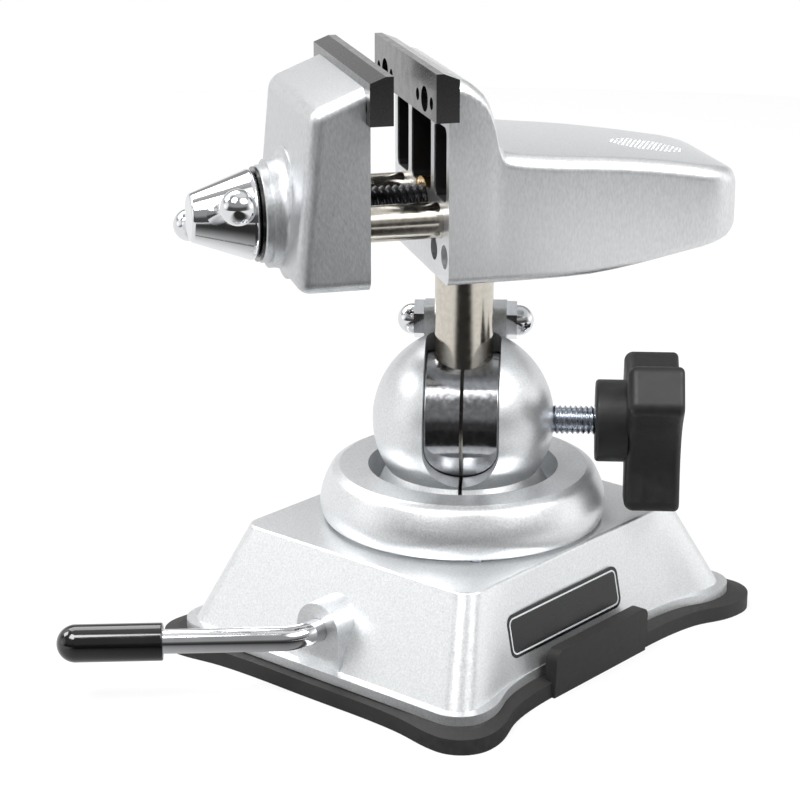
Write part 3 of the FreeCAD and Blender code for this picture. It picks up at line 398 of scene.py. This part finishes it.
def thread_tree():
    """The nodes that make a thread's skin along Z from four lengths and a number of rows."""
    tree = bpy.data.node_groups.new("thread_skin", "GeometryNodeTree")
    for name, kind in (("Radius", "Float"), ("Depth", "Float"), ("Pitch", "Float"), ("Length", "Float"),
                       ("Rows", "Int"), ("Material", "Material")):
        tree.interface.new_socket(name, in_out="INPUT", socket_type="NodeSocket" + kind)
    tree.interface.new_socket("Geometry", in_out="OUTPUT", socket_type="NodeSocketGeometry")
    given = add(tree, "NodeGroupInput").outputs
    grid = add(tree, "GeometryNodeMeshGrid", {"Size X": 1.0, "Size Y": 1.0, "Vertices X": ROUND_STEPS + 1,
                                              "Vertices Y": given["Rows"]})
    place = add(tree, "ShaderNodeSeparateXYZ", {0: add(tree, "GeometryNodeInputPosition")}).outputs
    known = {"x on grid": place["X"], "y on grid": place["Y"], "radius": given["Radius"],
             "depth": given["Depth"], "pitch": given["Pitch"], "length": given["Length"]}
    for name, operation, *terms in THREAD_SUMS:
        inputs = {index: known.get(term, term) for index, term in enumerate(terms)}
        known[name] = add(tree, "ShaderNodeMath", inputs, operation=operation)
    rolled = add(tree, "ShaderNodeCombineXYZ", {0: known["x"], 1: known["y"], 2: known["along"]})
    skin = add(tree, "GeometryNodeSetPosition", {"Geometry": grid, "Position": rolled})
    skin = add(tree, "GeometryNodeMergeByDistance", {"Geometry": skin, "Distance": SEAM})
    skin = add(tree, "GeometryNodeRealizeInstances", {"Geometry": skin})
    skin = add(tree, "GeometryNodeSetMaterial", {"Geometry": skin, "Material": given["Material"]})
    add(tree, "NodeGroupOutput", {"Geometry": skin})
    return tree


def grown(name, mesh, tree, values):
    """Run a Geometry Nodes tree once and keep what it makes as a plain mesh."""
    seed = bpy.data.objects.new(name + "_seed", mesh)
    bpy.context.scene.collection.objects.link(seed)
    modifier = seed.modifiers.new(name, "NODES")
    modifier.node_group = tree
    for item in tree.interface.items_tree:
        if item.name in values:
            modifier[item.identifier] = values[item.name]
    bpy.context.view_layer.update()
    made = bpy.data.meshes.new_from_object(seed.evaluated_get(bpy.context.evaluated_depsgraph_get()))
    bpy.data.objects.remove(seed)
    return made


def skin_over(shape, rings):
    """Join rings of points into a closed body."""
    for near, far in zip(rings, rings[1:]):
        for index in range(len(near)):
            shape.faces.new((near[index - 1], near[index], far[index], far[index - 1]))
    shape.faces.new(rings[0])
    shape.faces.new(rings[-1])


def lathe(shape, profile):
    """Add a closed turned body round Z from pairs of height and radius."""
    turns = [math.tau * step / LATHE_STEPS for step in range(LATHE_STEPS)]
    skin_over(shape, [[shape.verts.new((radius * math.cos(turn), radius * math.sin(turn), height))
                       for turn in turns] for height, radius in profile])


def threaded(name, replaced, body, finish, start, turn, thread, plain_end=()):
    """Put a threaded piece in the place of a plain one; lengths in millimetres along its own axis."""
    radius, depth, pitch, length = (value * MM for value in thread)
    core = [(0.0, radius - depth), (length, radius - depth)]
    core += [(height * MM, width * MM) for height, width in plain_end]
    values = {"Radius": radius, "Depth": depth, "Pitch": pitch, "Length": length,
              "Rows": int(length / pitch * STEPS_PER_TURN) + 1, "Material": finishes[finish]}
    shape = bmesh.new()
    shape.from_mesh(grown(name, bpy.data.meshes.new(name + "_seed"), thread_tree(), values))
    lathe(shape, core)
    bmesh.ops.recalc_face_normals(shape, faces=shape.faces)
    laid = Matrix.Rotation(turn, 4, "Z") @ Matrix.Rotation(math.pi / 2, 4, "Y")
    shape.transform(Matrix.Translation(start) @ laid)
    mesh = bpy.data.meshes.new(name)
    shape.to_mesh(mesh)
    shape.free()
    mesh.shade_smooth()
    mesh.set_sharp_from_angle(angle=THREAD_EDGE)
    piece = bpy.data.objects.new(name, mesh)
    bpy.context.scene.collection.objects.link(piece)
    dress(piece, finish)
    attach(piece, body)
    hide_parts(replaced)
    print(name, "faces:", len(mesh.polygons))


# Radius, depth, pitch and length of each thread, then where it starts along, across and up
INCH = 25.4
LEAD_THREAD, LEAD_START = (5.55, 1.0, INCH / 14, 73.5), (-42.0, 0, JAW_AXIS)
LEAD_NECK = [(73.5, 4.0), (113.0, 4.0)]
STUD_THREAD, STUD_START = (3.97, 0.75, INCH / 18, 41.8), (10.2, 0, BALL_HEIGHT)
TIE_THREAD, TIE_START = (2.415, 0.4, 0.8, 32.4), (-16.2, 14.0, 84.65)
threaded("lead_screw_threaded", "lead_screw", "screw", "oxide", on_head(*LEAD_START) * MM, HEAD_TURN,
         LEAD_THREAD, LEAD_NECK)
threaded("clamp_stud_threaded", "clamp_knob_stud", "knob", "zinc", on_turret(*STUD_START) * MM, TURRET_TURN,
         STUD_THREAD)
threaded("tie_rod_threaded", "tie_rod", "turret", "zinc", on_turret(*TIE_START) * MM, TURRET_TURN,
         TIE_THREAD)

# %% [markdown]
# The sliding jaw is the piece whose form the eye reads first: its back leans, its top falls away, and its
# side edges are softly rounded. It is drawn again from its side profile. Each profile point knows which
# way is outward, so the rounded sides are the same loop drawn a little smaller and further out. Booleans
# then join the boss and sink the bores that the measured jaw has.

# %% Sliding jaw
JAW_HALF_WIDTH, SIDE_ROUND, ROUND_PARTS = 27.4, 3.6, 8
JAW_FACE, JAW_SHELF, JAW_LOW, JAW_SEAT, JAW_TOP = 32.5, 33.7, 105.7, 149.3, 158.0
CREST, CREST_HEIGHT, CREST_ROUND = 47.6, 152.4, 5.0
FOOT, FOOT_ROUND = 52.0, 4.0
BOSS_ROOT, BOSS_RADIUS, FLARE_START, FLARE_ROUND = 40.0, 17.4, 49.4, 3.2
BOSS_END = [(54.0, 14.2), (54.0, 12.8), (55.9, 12.8), (56.2, 12.4)]
BORE_PROFILE = [(31.0, 7.1), (35.1, 7.1), (35.1, 4.05), (57.5, 4.05)]
ROD_SPACING, ROD_BORE = 18.0, [(31.0, 4.75), (47.0, 4.75)]
SCREW_SPACING, SCREW_HEIGHT, SCREW_BORE = 20.3, 153.5, [(32.0, 1.6), (39.7, 1.6)]
CASTING_EDGE = math.radians(28)


def rounded(before, corner, after, radius, parts):
    """Points and outward directions of a round between two straight edges."""
    first, last = (before - corner).normalized(), (after - corner).normalized()
    reach = radius / math.tan(first.angle(last) / 2)
    centre = corner + (first + last).normalized() * (radius / math.sin(first.angle(last) / 2))
    start, end = corner + first * reach - centre, corner + last * reach - centre
    turn = start.angle(end)
    found = []
    for part in range(parts + 1):
        share = part / parts
        spoke = (start * math.sin((1 - share) * turn) + end * math.sin(share * turn)) / math.sin(turn)
        found.append((centre + spoke, spoke.normalized()))
    return found


def carve(blank, tools):
    """Join and cut a blank with other bodies, which are used up."""
    for tool, operation in tools:
        joint = blank.modifiers.new(tool.name, "BOOLEAN")
        joint.object = tool
        joint.operation = operation
        joint.solver = "EXACT"
    bpy.context.view_layer.update()
    mesh = bpy.data.meshes.new_from_object(blank.evaluated_get(bpy.context.evaluated_depsgraph_get()))
    blank.modifiers.clear()
    blank.data = mesh
    for tool, _ in tools:
        bpy.data.objects.remove(tool)


def finish_casting(casting, finish, body, replaced):
    """Smooth a casting, give it its finish and hand it to its body."""
    casting.data.shade_smooth()
    casting.data.set_sharp_from_angle(angle=CASTING_EDGE)
    dress(casting, finish)
    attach(casting, body)
    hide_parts(replaced)
    print(casting.name, "faces:", len(casting.data.polygons))


low_front, low_back = Vector((JAW_FACE, 0, JAW_LOW)), Vector((FOOT, 0, JAW_LOW))
crest, high_front = Vector((CREST, 0, CREST_HEIGHT)), Vector((JAW_SHELF, 0, JAW_TOP))
up, down, still = Vector((0, 0, 1)), Vector((0, 0, -1)), Vector((0, 0, 0))
profile = [(low_front, down)]
profile += rounded(low_front, low_back, crest, FOOT_ROUND, ROUND_PARTS)
profile += rounded(low_back, crest, high_front, CREST_ROUND, ROUND_PARTS)
profile.append((high_front, up))
profile += [(Vector((along, 0, JAW_SEAT)), still) for along in (JAW_SHELF, JAW_FACE)]


def jaw_loops():
    """Inset and place across the jaw of each loop, from one side to the other."""
    loops = []
    for part in range(ROUND_PARTS + 1):
        angle = math.pi / 2 * part / ROUND_PARTS
        out = JAW_HALF_WIDTH - SIDE_ROUND * (1 - math.cos(angle))
        loops.append((SIDE_ROUND * (1 - math.sin(angle)), out))
    return [(inset, -out) for inset, out in loops] + loops[::-1]


def head_object(name, shape):
    """Turn a mesh drawn in the head's millimetres into an object of the frame."""
    bmesh.ops.recalc_face_normals(shape, faces=shape.faces)
    shape.transform(Matrix.Rotation(HEAD_TURN, 4, "Z") @ Matrix.Scale(MM, 4))
    mesh = bpy.data.meshes.new(name)
    shape.to_mesh(mesh)
    shape.free()
    made = bpy.data.objects.new(name, mesh)
    bpy.context.scene.collection.objects.link(made)
    return made


def turned_along(name, profile_mm, across, height):
    """A turned body whose axis lies along the screw; the profile gives places along it and radii."""
    shape = bmesh.new()
    lathe(shape, profile_mm)
    shape.transform(Matrix.Translation((0, across, height)) @ Matrix.Rotation(math.pi / 2, 4, "Y"))
    return head_object(name, shape)


shape = bmesh.new()
skin_over(shape, [[shape.verts.new(place - outward * inset + Vector((0, across, 0)))
                   for place, outward in profile] for inset, across in jaw_loops()])
jaw = head_object("movable_jaw_cast", shape)
turns = [math.pi / 2 * part / ROUND_PARTS for part in range(ROUND_PARTS + 1)]
flare = [(FLARE_START + FLARE_ROUND * (1 - math.cos(turn)), BOSS_RADIUS - FLARE_ROUND * math.sin(turn))
         for turn in turns]
boss = turned_along("boss", [(BOSS_ROOT, BOSS_RADIUS)] + flare + BOSS_END, 0, JAW_AXIS)
cutters = [turned_along("neck_bore", BORE_PROFILE, 0, JAW_AXIS)]
for side in (-1, 1):
    cutters.append(turned_along("rod_bore", ROD_BORE, side * ROD_SPACING, JAW_AXIS))
    cutters.append(turned_along("screw_bore", SCREW_BORE, side * SCREW_SPACING, SCREW_HEIGHT))
carve(jaw, [(boss, "UNION")] + [(cutter, "DIFFERENCE") for cutter in cutters])
finish_casting(jaw, "linished_jaw", "jaw", "movable_jaw")

# %% [markdown]
# The head is drawn again in the same way, this time from cross-sections that follow one another from the
# jaw face to the end of the tail. Each is a rectangle with rounded corners. Its top follows the brow and
# the crown, its underside the floor of the tail, and its width the plan, which ends in two wide rounds.

# %% Head casting
TOPS = [(12.1, 149.3), (10.75, 149.3), (10.7, 158.9), (8.6, 158.9), (7.0, 158.4), (5.4, 157.4),
        (3.9, 156.2), (2.5, 154.9), (1.3, 153.0), (0.4, 150.6), (-0.3, 147.6), (-1.1, 144.0),
        (-2.0, 141.3), (-3.0, 140.0), (-4.6, 139.4), (-8.0, 138.8), (-14.0, 138.1), (-20.0, 137.5),
        (-27.0, 136.9), (-34.0, 136.2), (-41.0, 135.3), (-48.0, 134.3), (-54.0, 133.3), (-59.0, 132.4),
        (-62.0, 131.9), (-64.5, 131.4), (-66.5, 130.9), (-68.3, 130.2), (-69.6, 129.3), (-70.5, 128.1),
        (-71.0, 126.4)]
FLOORS = [(12.1, 105.7), (-25.0, 105.7), (-32.0, 106.2), (-40.0, 107.2), (-50.0, 108.8), (-60.0, 110.7),
          (-67.0, 112.5), (-70.0, 114.2), (-71.0, 116.0)]
CORNER_TOP, CORNER_SEAT, CORNER_LOW, BLOCK_FACE = 4.0, 0.4, 2.5, 10.7
TAPER_START, TAPER_END, END_WIDTH, END_ROUND = -8.0, -59.0, 23.6, 12.0
POCKET_FLOOR, FACE_PAST, POCKET_TOP, POCKET_LOW, POCKET_CORNER = 2.6, 14.0, 146.5, 127.0, 2.0
POCKET_SPANS = [(-9.8, 9.8), (13.0, 24.8), (-24.8, -13.0)]
SCREW_PASSAGE = [(-54.0, 6.2), (-4.0, 6.2), (-4.0, 7.5), (FACE_PAST, 7.5)]
GUIDE_BORE, PAD_HOLE = [(-54.0, 4.8), (FACE_PAST, 4.8)], [(4.7, 1.6), (12.0, 1.6)]
BLIND_HEIGHT, BLIND_SPACINGS, BLIND_HOLE = 112.7, (13.1, 23.2), [(0.1, 3.15), (FACE_PAST, 3.15)]
SHAFT_SOCKET = [(100.0, 7.9375), (113.0, 7.9375)]


def between(table, along):
    """The value of a table of falling places at one place."""
    for (high, first), (low, last) in zip(table, table[1:]):
        if low <= along <= high:
            return first + (last - first) * (high - along) / max(high - low, 1e-6)
    return table[-1][1]


def plan_width(along):
    """Half the width of the head at one place."""
    if along > TAPER_START:
        return JAW_HALF_WIDTH
    share = min((TAPER_START - along) / (TAPER_START - TAPER_END), 1.0)
    eased = share * share * (3 - 2 * share)
    width = JAW_HALF_WIDTH + (END_WIDTH - JAW_HALF_WIDTH) * eased
    past = max(TAPER_END - along, 0.0)
    return width - END_ROUND + math.sqrt(max(END_ROUND ** 2 - past ** 2, 0.0))


def section(shape, along, top):
    """One rounded rectangle across the head."""
    width, floor = plan_width(along), between(FLOORS, along)
    high_round = CORNER_TOP if along <= BLOCK_FACE else CORNER_SEAT
    points = []
    corners = ((width, top, high_round, 0), (-width, top, high_round, 90),
               (-width, floor, CORNER_LOW, 180), (width, floor, CORNER_LOW, 270))
    for across, height, radius, start in corners:
        centre_across = across - math.copysign(radius, across)
        centre_height = height - radius if height == top else height + radius
        for part in range(ROUND_PARTS + 1):
            angle = math.radians(start + 90 * part / ROUND_PARTS)
            points.append(shape.verts.new((along, centre_across + radius * math.cos(angle),
                                           centre_height + radius * math.sin(angle))))
    return points


shape = bmesh.new()
skin_over(shape, [section(shape, along, top) for along, top in TOPS])
casting = head_object("head_casting", shape)


def pocket_cutter(low, high):
    """A pocket's space: a box from the jaw face inward with rounded corners."""
    shape = bmesh.new()
    loops = []
    for along in (POCKET_FLOOR, FACE_PAST):
        loop = []
        for across, height, start in ((high, POCKET_TOP, 0), (low, POCKET_TOP, 90), (low, POCKET_LOW, 180),
                                      (high, POCKET_LOW, 270)):
            inward = -1 if across == high else 1
            drop = -1 if height == POCKET_TOP else 1
            for part in range(ROUND_PARTS + 1):
                angle = math.radians(start + 90 * part / ROUND_PARTS)
                loop.append(shape.verts.new((along, across + POCKET_CORNER * (inward + math.cos(angle)),
                                             height + POCKET_CORNER * (drop + math.sin(angle)))))
        loops.append(loop)
    skin_over(shape, loops)
    return head_object("pocket", shape)


cutters = [pocket_cutter(low, high) for low, high in POCKET_SPANS]
cutters.append(turned_along("screw_passage", SCREW_PASSAGE, 0, JAW_AXIS))
for side in (-1, 1):
    cutters.append(turned_along("guide_bore", GUIDE_BORE, side * ROD_SPACING, JAW_AXIS))
    cutters.append(turned_along("pad_hole", PAD_HOLE, side * SCREW_SPACING, SCREW_HEIGHT))
    for across in BLIND_SPACINGS:
        cutters.append(turned_along("blind_hole", BLIND_HOLE, side * across, BLIND_HEIGHT))
shape = bmesh.new()
lathe(shape, SHAFT_SOCKET)
cutters.append(head_object("shaft_socket", shape))
carve(casting, [(cutter, "DIFFERENCE") for cutter in cutters])
finish_casting(casting, "linished_head", "head", "head_body")

# %% [markdown]
# The top of the tail carries a bare oval with a stippled skin. Rays dropped on the new casting find its
# top under a staggered grid, and a small tree sets one flattened bead on each point.

# %% Stipple in the oval
OVAL_PLACE, OVAL_HALF_LENGTH, OVAL_HALF_WIDTH = -50.5, 10.2, 7.2
BEAD_STEP, BEAD_RADIUS, BEAD_SHARE, BEAD_LEVELS = 1.25, 0.42, 0.4, 3
RAY_START = 0.2
points = []
rows = int(OVAL_HALF_WIDTH / BEAD_STEP)
columns = int(OVAL_HALF_LENGTH / BEAD_STEP)
for row in range(-rows, rows + 1):
    for column in range(-columns, columns + 1):
        along = (column + 0.5 * (row % 2)) * BEAD_STEP
        across = row * BEAD_STEP
        if (along / OVAL_HALF_LENGTH) ** 2 + (across / OVAL_HALF_WIDTH) ** 2 > 1.0:
            continue
        start = on_head((OVAL_PLACE + along) * MM, across * MM, RAY_START)
        hit, spot = casting.ray_cast(casting.matrix_world.inverted() @ start, down)[:2]
        if hit:
            points.append(casting.matrix_world @ spot)

beads = bpy.data.node_groups.new("beads", "GeometryNodeTree")
beads.interface.new_socket("Geometry", in_out="INPUT", socket_type="NodeSocketGeometry")
for name, kind in (("Radius", "Float"), ("Flatness", "Vector"), ("Material", "Material")):
    beads.interface.new_socket(name, in_out="INPUT", socket_type="NodeSocket" + kind)
beads.interface.new_socket("Geometry", in_out="OUTPUT", socket_type="NodeSocketGeometry")
given = add(beads, "NodeGroupInput").outputs
bead = add(beads, "GeometryNodeMeshIcoSphere", {"Radius": given["Radius"], "Subdivisions": BEAD_LEVELS})
spread = add(beads, "GeometryNodeInstanceOnPoints",
             {"Points": given["Geometry"], "Instance": bead, "Scale": given["Flatness"]})
spread = add(beads, "GeometryNodeRealizeInstances", {"Geometry": spread})
spread = add(beads, "GeometryNodeSetMaterial", {"Geometry": spread, "Material": given["Material"]})
add(beads, "NodeGroupOutput", {"Geometry": spread})
seed = bpy.data.meshes.new("oval_seed")
seed.from_pydata(points, [], [])
mesh = grown("oval_stipple", seed, beads, {"Radius": BEAD_RADIUS * MM, "Flatness": (1.0, 1.0, BEAD_SHARE),
                                           "Material": finishes["linished_head"]})
mesh.shade_smooth()
stipple = bpy.data.objects.new("oval_stipple", mesh)
bpy.context.scene.collection.objects.link(stipple)
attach(stipple, "head")
print("beads:", len(points))

# %% [markdown]
# The floor is a plain pale disc. It is only a stage. Seen directly it is
# nearly white by itself, and the rest of its light comes from the lamps, so it keeps the vise's shadow.
# Its mirror image in the metal is darker in front of the vise than around it, which gives the chrome
# and the underside of the head their dark tones.

# %% Floor
FLOOR_RADIUS = 0.8
SHADE_TURN = math.radians(-218)
SHADE_SQUEEZE, SHADE_CENTRE = (0.4, 1, 1), (0.2, 0, 0)
SHADE_NEAR, SHADE_FAR, SHADE_DARK, SHADE_LIGHT = 0.15, 0.24, 0.03, 0.95
OWN_LIGHT = 0.8
floor_mesh = bpy.data.meshes.new("floor")
disc = bmesh.new()
bmesh.ops.create_circle(disc, cap_ends=True, segments=96, radius=FLOOR_RADIUS)
disc.to_mesh(floor_mesh)
disc.free()
floor = bpy.data.objects.new("floor", floor_mesh)
bpy.context.scene.collection.objects.link(floor)

paper = bpy.data.materials.new("pale_matt_paper")
paper.use_nodes = True
tree = paper.node_tree
tree.nodes.remove(tree.nodes["Principled BSDF"])
rays = add(tree, "ShaderNodeLightPath").outputs
seen = add(tree, "ShaderNodeMath", {0: rays["Is Camera Ray"], 1: rays["Is Glossy Ray"]},
           operation="MAXIMUM")
seen = add(tree, "ShaderNodeMath", {0: seen, 1: rays["Is Transmission Ray"]}, operation="MAXIMUM")
share = add(tree, "ShaderNodeMath", {0: seen, 1: OWN_LIGHT}, operation="MULTIPLY")
share = add(tree, "ShaderNodeMath", {0: share, 1: rays["Is Glossy Ray"]}, operation="MAXIMUM")
place = add(tree, "ShaderNodeTexCoord").outputs["Object"]
place = add(tree, "ShaderNodeMapping", {"Vector": place, "Rotation": (0, 0, SHADE_TURN)})
place = add(tree, "ShaderNodeMapping", {"Vector": place, "Scale": SHADE_SQUEEZE})
away = add(tree, "ShaderNodeVectorMath", {0: place, 1: SHADE_CENTRE}, operation="DISTANCE").outputs["Value"]
shade = add(tree, "ShaderNodeMapRange", {0: away, 1: SHADE_NEAR, 2: SHADE_FAR, 3: SHADE_DARK, 4: SHADE_LIGHT},
            interpolation_type="SMOOTHSTEP")
glow = add(tree, "ShaderNodeMix", {0: rays["Is Glossy Ray"], 2: 1.0, 3: shade}, data_type="FLOAT")
matt = add(tree, "ShaderNodeBsdfDiffuse", {"Color": linear("#F4F4F4")})
bright = add(tree, "ShaderNodeEmission", {"Color": (1, 1, 1, 1), "Strength": glow})
mixed = add(tree, "ShaderNodeMixShader", {0: share, 1: matt, 2: bright})
tree.links.new(mixed.outputs[0], tree.nodes["Material Output"].inputs["Surface"])
floor.data.materials.append(paper)
print("floor radius in metres:", FLOOR_RADIUS)

# %% [markdown]
# Metal shows its surroundings, so the world is a simple studio: white where the camera looks, and for
# reflections a pale room that is dark in front, with a grey ceiling and a few soft lights. Each light is
# a smooth patch round one direction. Matt surfaces get one plain level from all sides.

# %% World
def heading(azimuth, elevation):
    """A direction from its turn about Z and its height above the horizon, in degrees."""
    turn, rise = math.radians(azimuth), math.radians(elevation)
    return Vector((math.cos(rise) * math.cos(turn), math.cos(rise) * math.sin(turn), math.sin(rise)))


FRONT = heading(218, 0)
DARK_FRONT, BACKDROP, CEILING, EVEN_LIGHT = 0.07, 0.95, 0.34, 0.42
WALL_TURN, CEILING_RISE = (-0.1, 0.62), (0.1, 0.36)
# Azimuth, elevation, how much light is added, and the radii in degrees where it is full and where it ends
SOFTBOXES = [(184, 60, 1.6, 12, 20), (268, 48, 1.5, 12, 22), (95, 40, 0.9, 14, 26),
             (141, 13, 0.65, 10, 22), (319, 18, 0.6, 14, 28), (10, 72, 0.5, 18, 38)]
world = bpy.data.worlds.new("studio")
bpy.context.scene.world = world
world.use_nodes = True
tree = world.node_tree
tree.nodes.clear()
look = add(tree, "ShaderNodeTexCoord").outputs["Generated"]


def ramp(value, start, end, low, high):
    """A smooth change from one level to another while a value runs from start to end."""
    return add(tree, "ShaderNodeMapRange", {0: value, 1: start, 2: end, 3: low, 4: high},
               interpolation_type="SMOOTHSTEP")


height = add(tree, "ShaderNodeSeparateXYZ", {0: look}).outputs["Z"]
facing = add(tree, "ShaderNodeVectorMath", {0: look, 1: FRONT}, operation="DOT_PRODUCT").outputs["Value"]
walls = ramp(facing, *WALL_TURN, BACKDROP, DARK_FRONT)
rise = ramp(height, *CEILING_RISE, 0.0, 1.0)
level = add(tree, "ShaderNodeMix", {0: rise, 2: walls, 3: CEILING}, data_type="FLOAT")
for azimuth, elevation, lift, inner, outer in SOFTBOXES:
    toward = add(tree, "ShaderNodeVectorMath", {0: look, 1: heading(azimuth, elevation)},
                 operation="DOT_PRODUCT")
    edge, core = math.cos(math.radians(outer)), math.cos(math.radians(inner))
    box = ramp(toward.outputs["Value"], edge, core, 0.0, lift)
    level = add(tree, "ShaderNodeMath", {0: level, 1: box}, operation="ADD")
rays = add(tree, "ShaderNodeLightPath").outputs
mirrored = add(tree, "ShaderNodeMath", {0: rays["Is Glossy Ray"], 1: rays["Is Transmission Ray"]},
               operation="MAXIMUM")
soft = add(tree, "ShaderNodeMix", {0: mirrored, 2: EVEN_LIGHT, 3: level}, data_type="FLOAT")
strength = add(tree, "ShaderNodeMix", {0: rays["Is Camera Ray"], 2: soft, 3: 1.0}, data_type="FLOAT")
glow = add(tree, "ShaderNodeBackground", {"Color": (1, 1, 1, 1), "Strength": strength})
add(tree, "ShaderNodeOutputWorld", {"Surface": glow})
print("softboxes:", len(SOFTBOXES))

# %% [markdown]
# Four soft square lamps shape the vise: the key stands high on the left, one on the right, one behind,
# and one shines into the gap between the jaws. They stay low in power, since the pale room already
# lights the metal.

# %% Lamps
AIM = Vector((0, 0, 0.08))
LAMP_DISTANCE = 1.1
# Name, azimuth, elevation, width in metres and power in watts
LAMPS = [("key_lamp", 184, 55, 0.5, 8.0), ("side_lamp", -78, 46, 0.45, 7.0),
         ("back_lamp", 70, 55, 0.6, 4.0), ("gap_lamp", 122, 38, 0.4, 4.0)]


def lamp(name, azimuth, elevation, size, power):
    """A square soft lamp that faces the vise."""
    data = bpy.data.lights.new(name, "AREA")
    data.size = size
    data.energy = power
    obj = bpy.data.objects.new(name, data)
    obj.location = AIM + heading(azimuth, elevation) * LAMP_DISTANCE
    obj.rotation_euler = (AIM - obj.location).to_track_quat("-Z", "Y").to_euler()
    bpy.context.scene.collection.objects.link(obj)


for settings in LAMPS:
    lamp(*settings)
print("lamps:", len(LAMPS))

# %% [markdown]
# The camera stands where the pictured view was taken from, found by fitting the base's corners. A long
# lens keeps the vise's upright edges nearly parallel.

# %% Camera
LENS, SENSOR = 109.4, 36.0
CAMERA_PLACE, CAMERA_HEADING = Vector((-490.3, -396.1, 271.6)) * MM, (40.505, -18.088)
camera_data = bpy.data.cameras.new("camera")
camera_data.lens = LENS
camera_data.sensor_width = SENSOR
camera = bpy.data.objects.new("camera", camera_data)
camera.location = CAMERA_PLACE
camera.rotation_euler = heading(*CAMERA_HEADING).to_track_quat("-Z", "Y").to_euler()
bpy.context.scene.collection.objects.link(camera)
bpy.context.scene.camera = camera
bpy.context.scene.view_settings.view_transform = "Standard"
print("camera lens:", camera_data.lens)

# %% [markdown]
# The last step brings the scene up to date.

# %% Finish
bpy.context.view_layer.update()
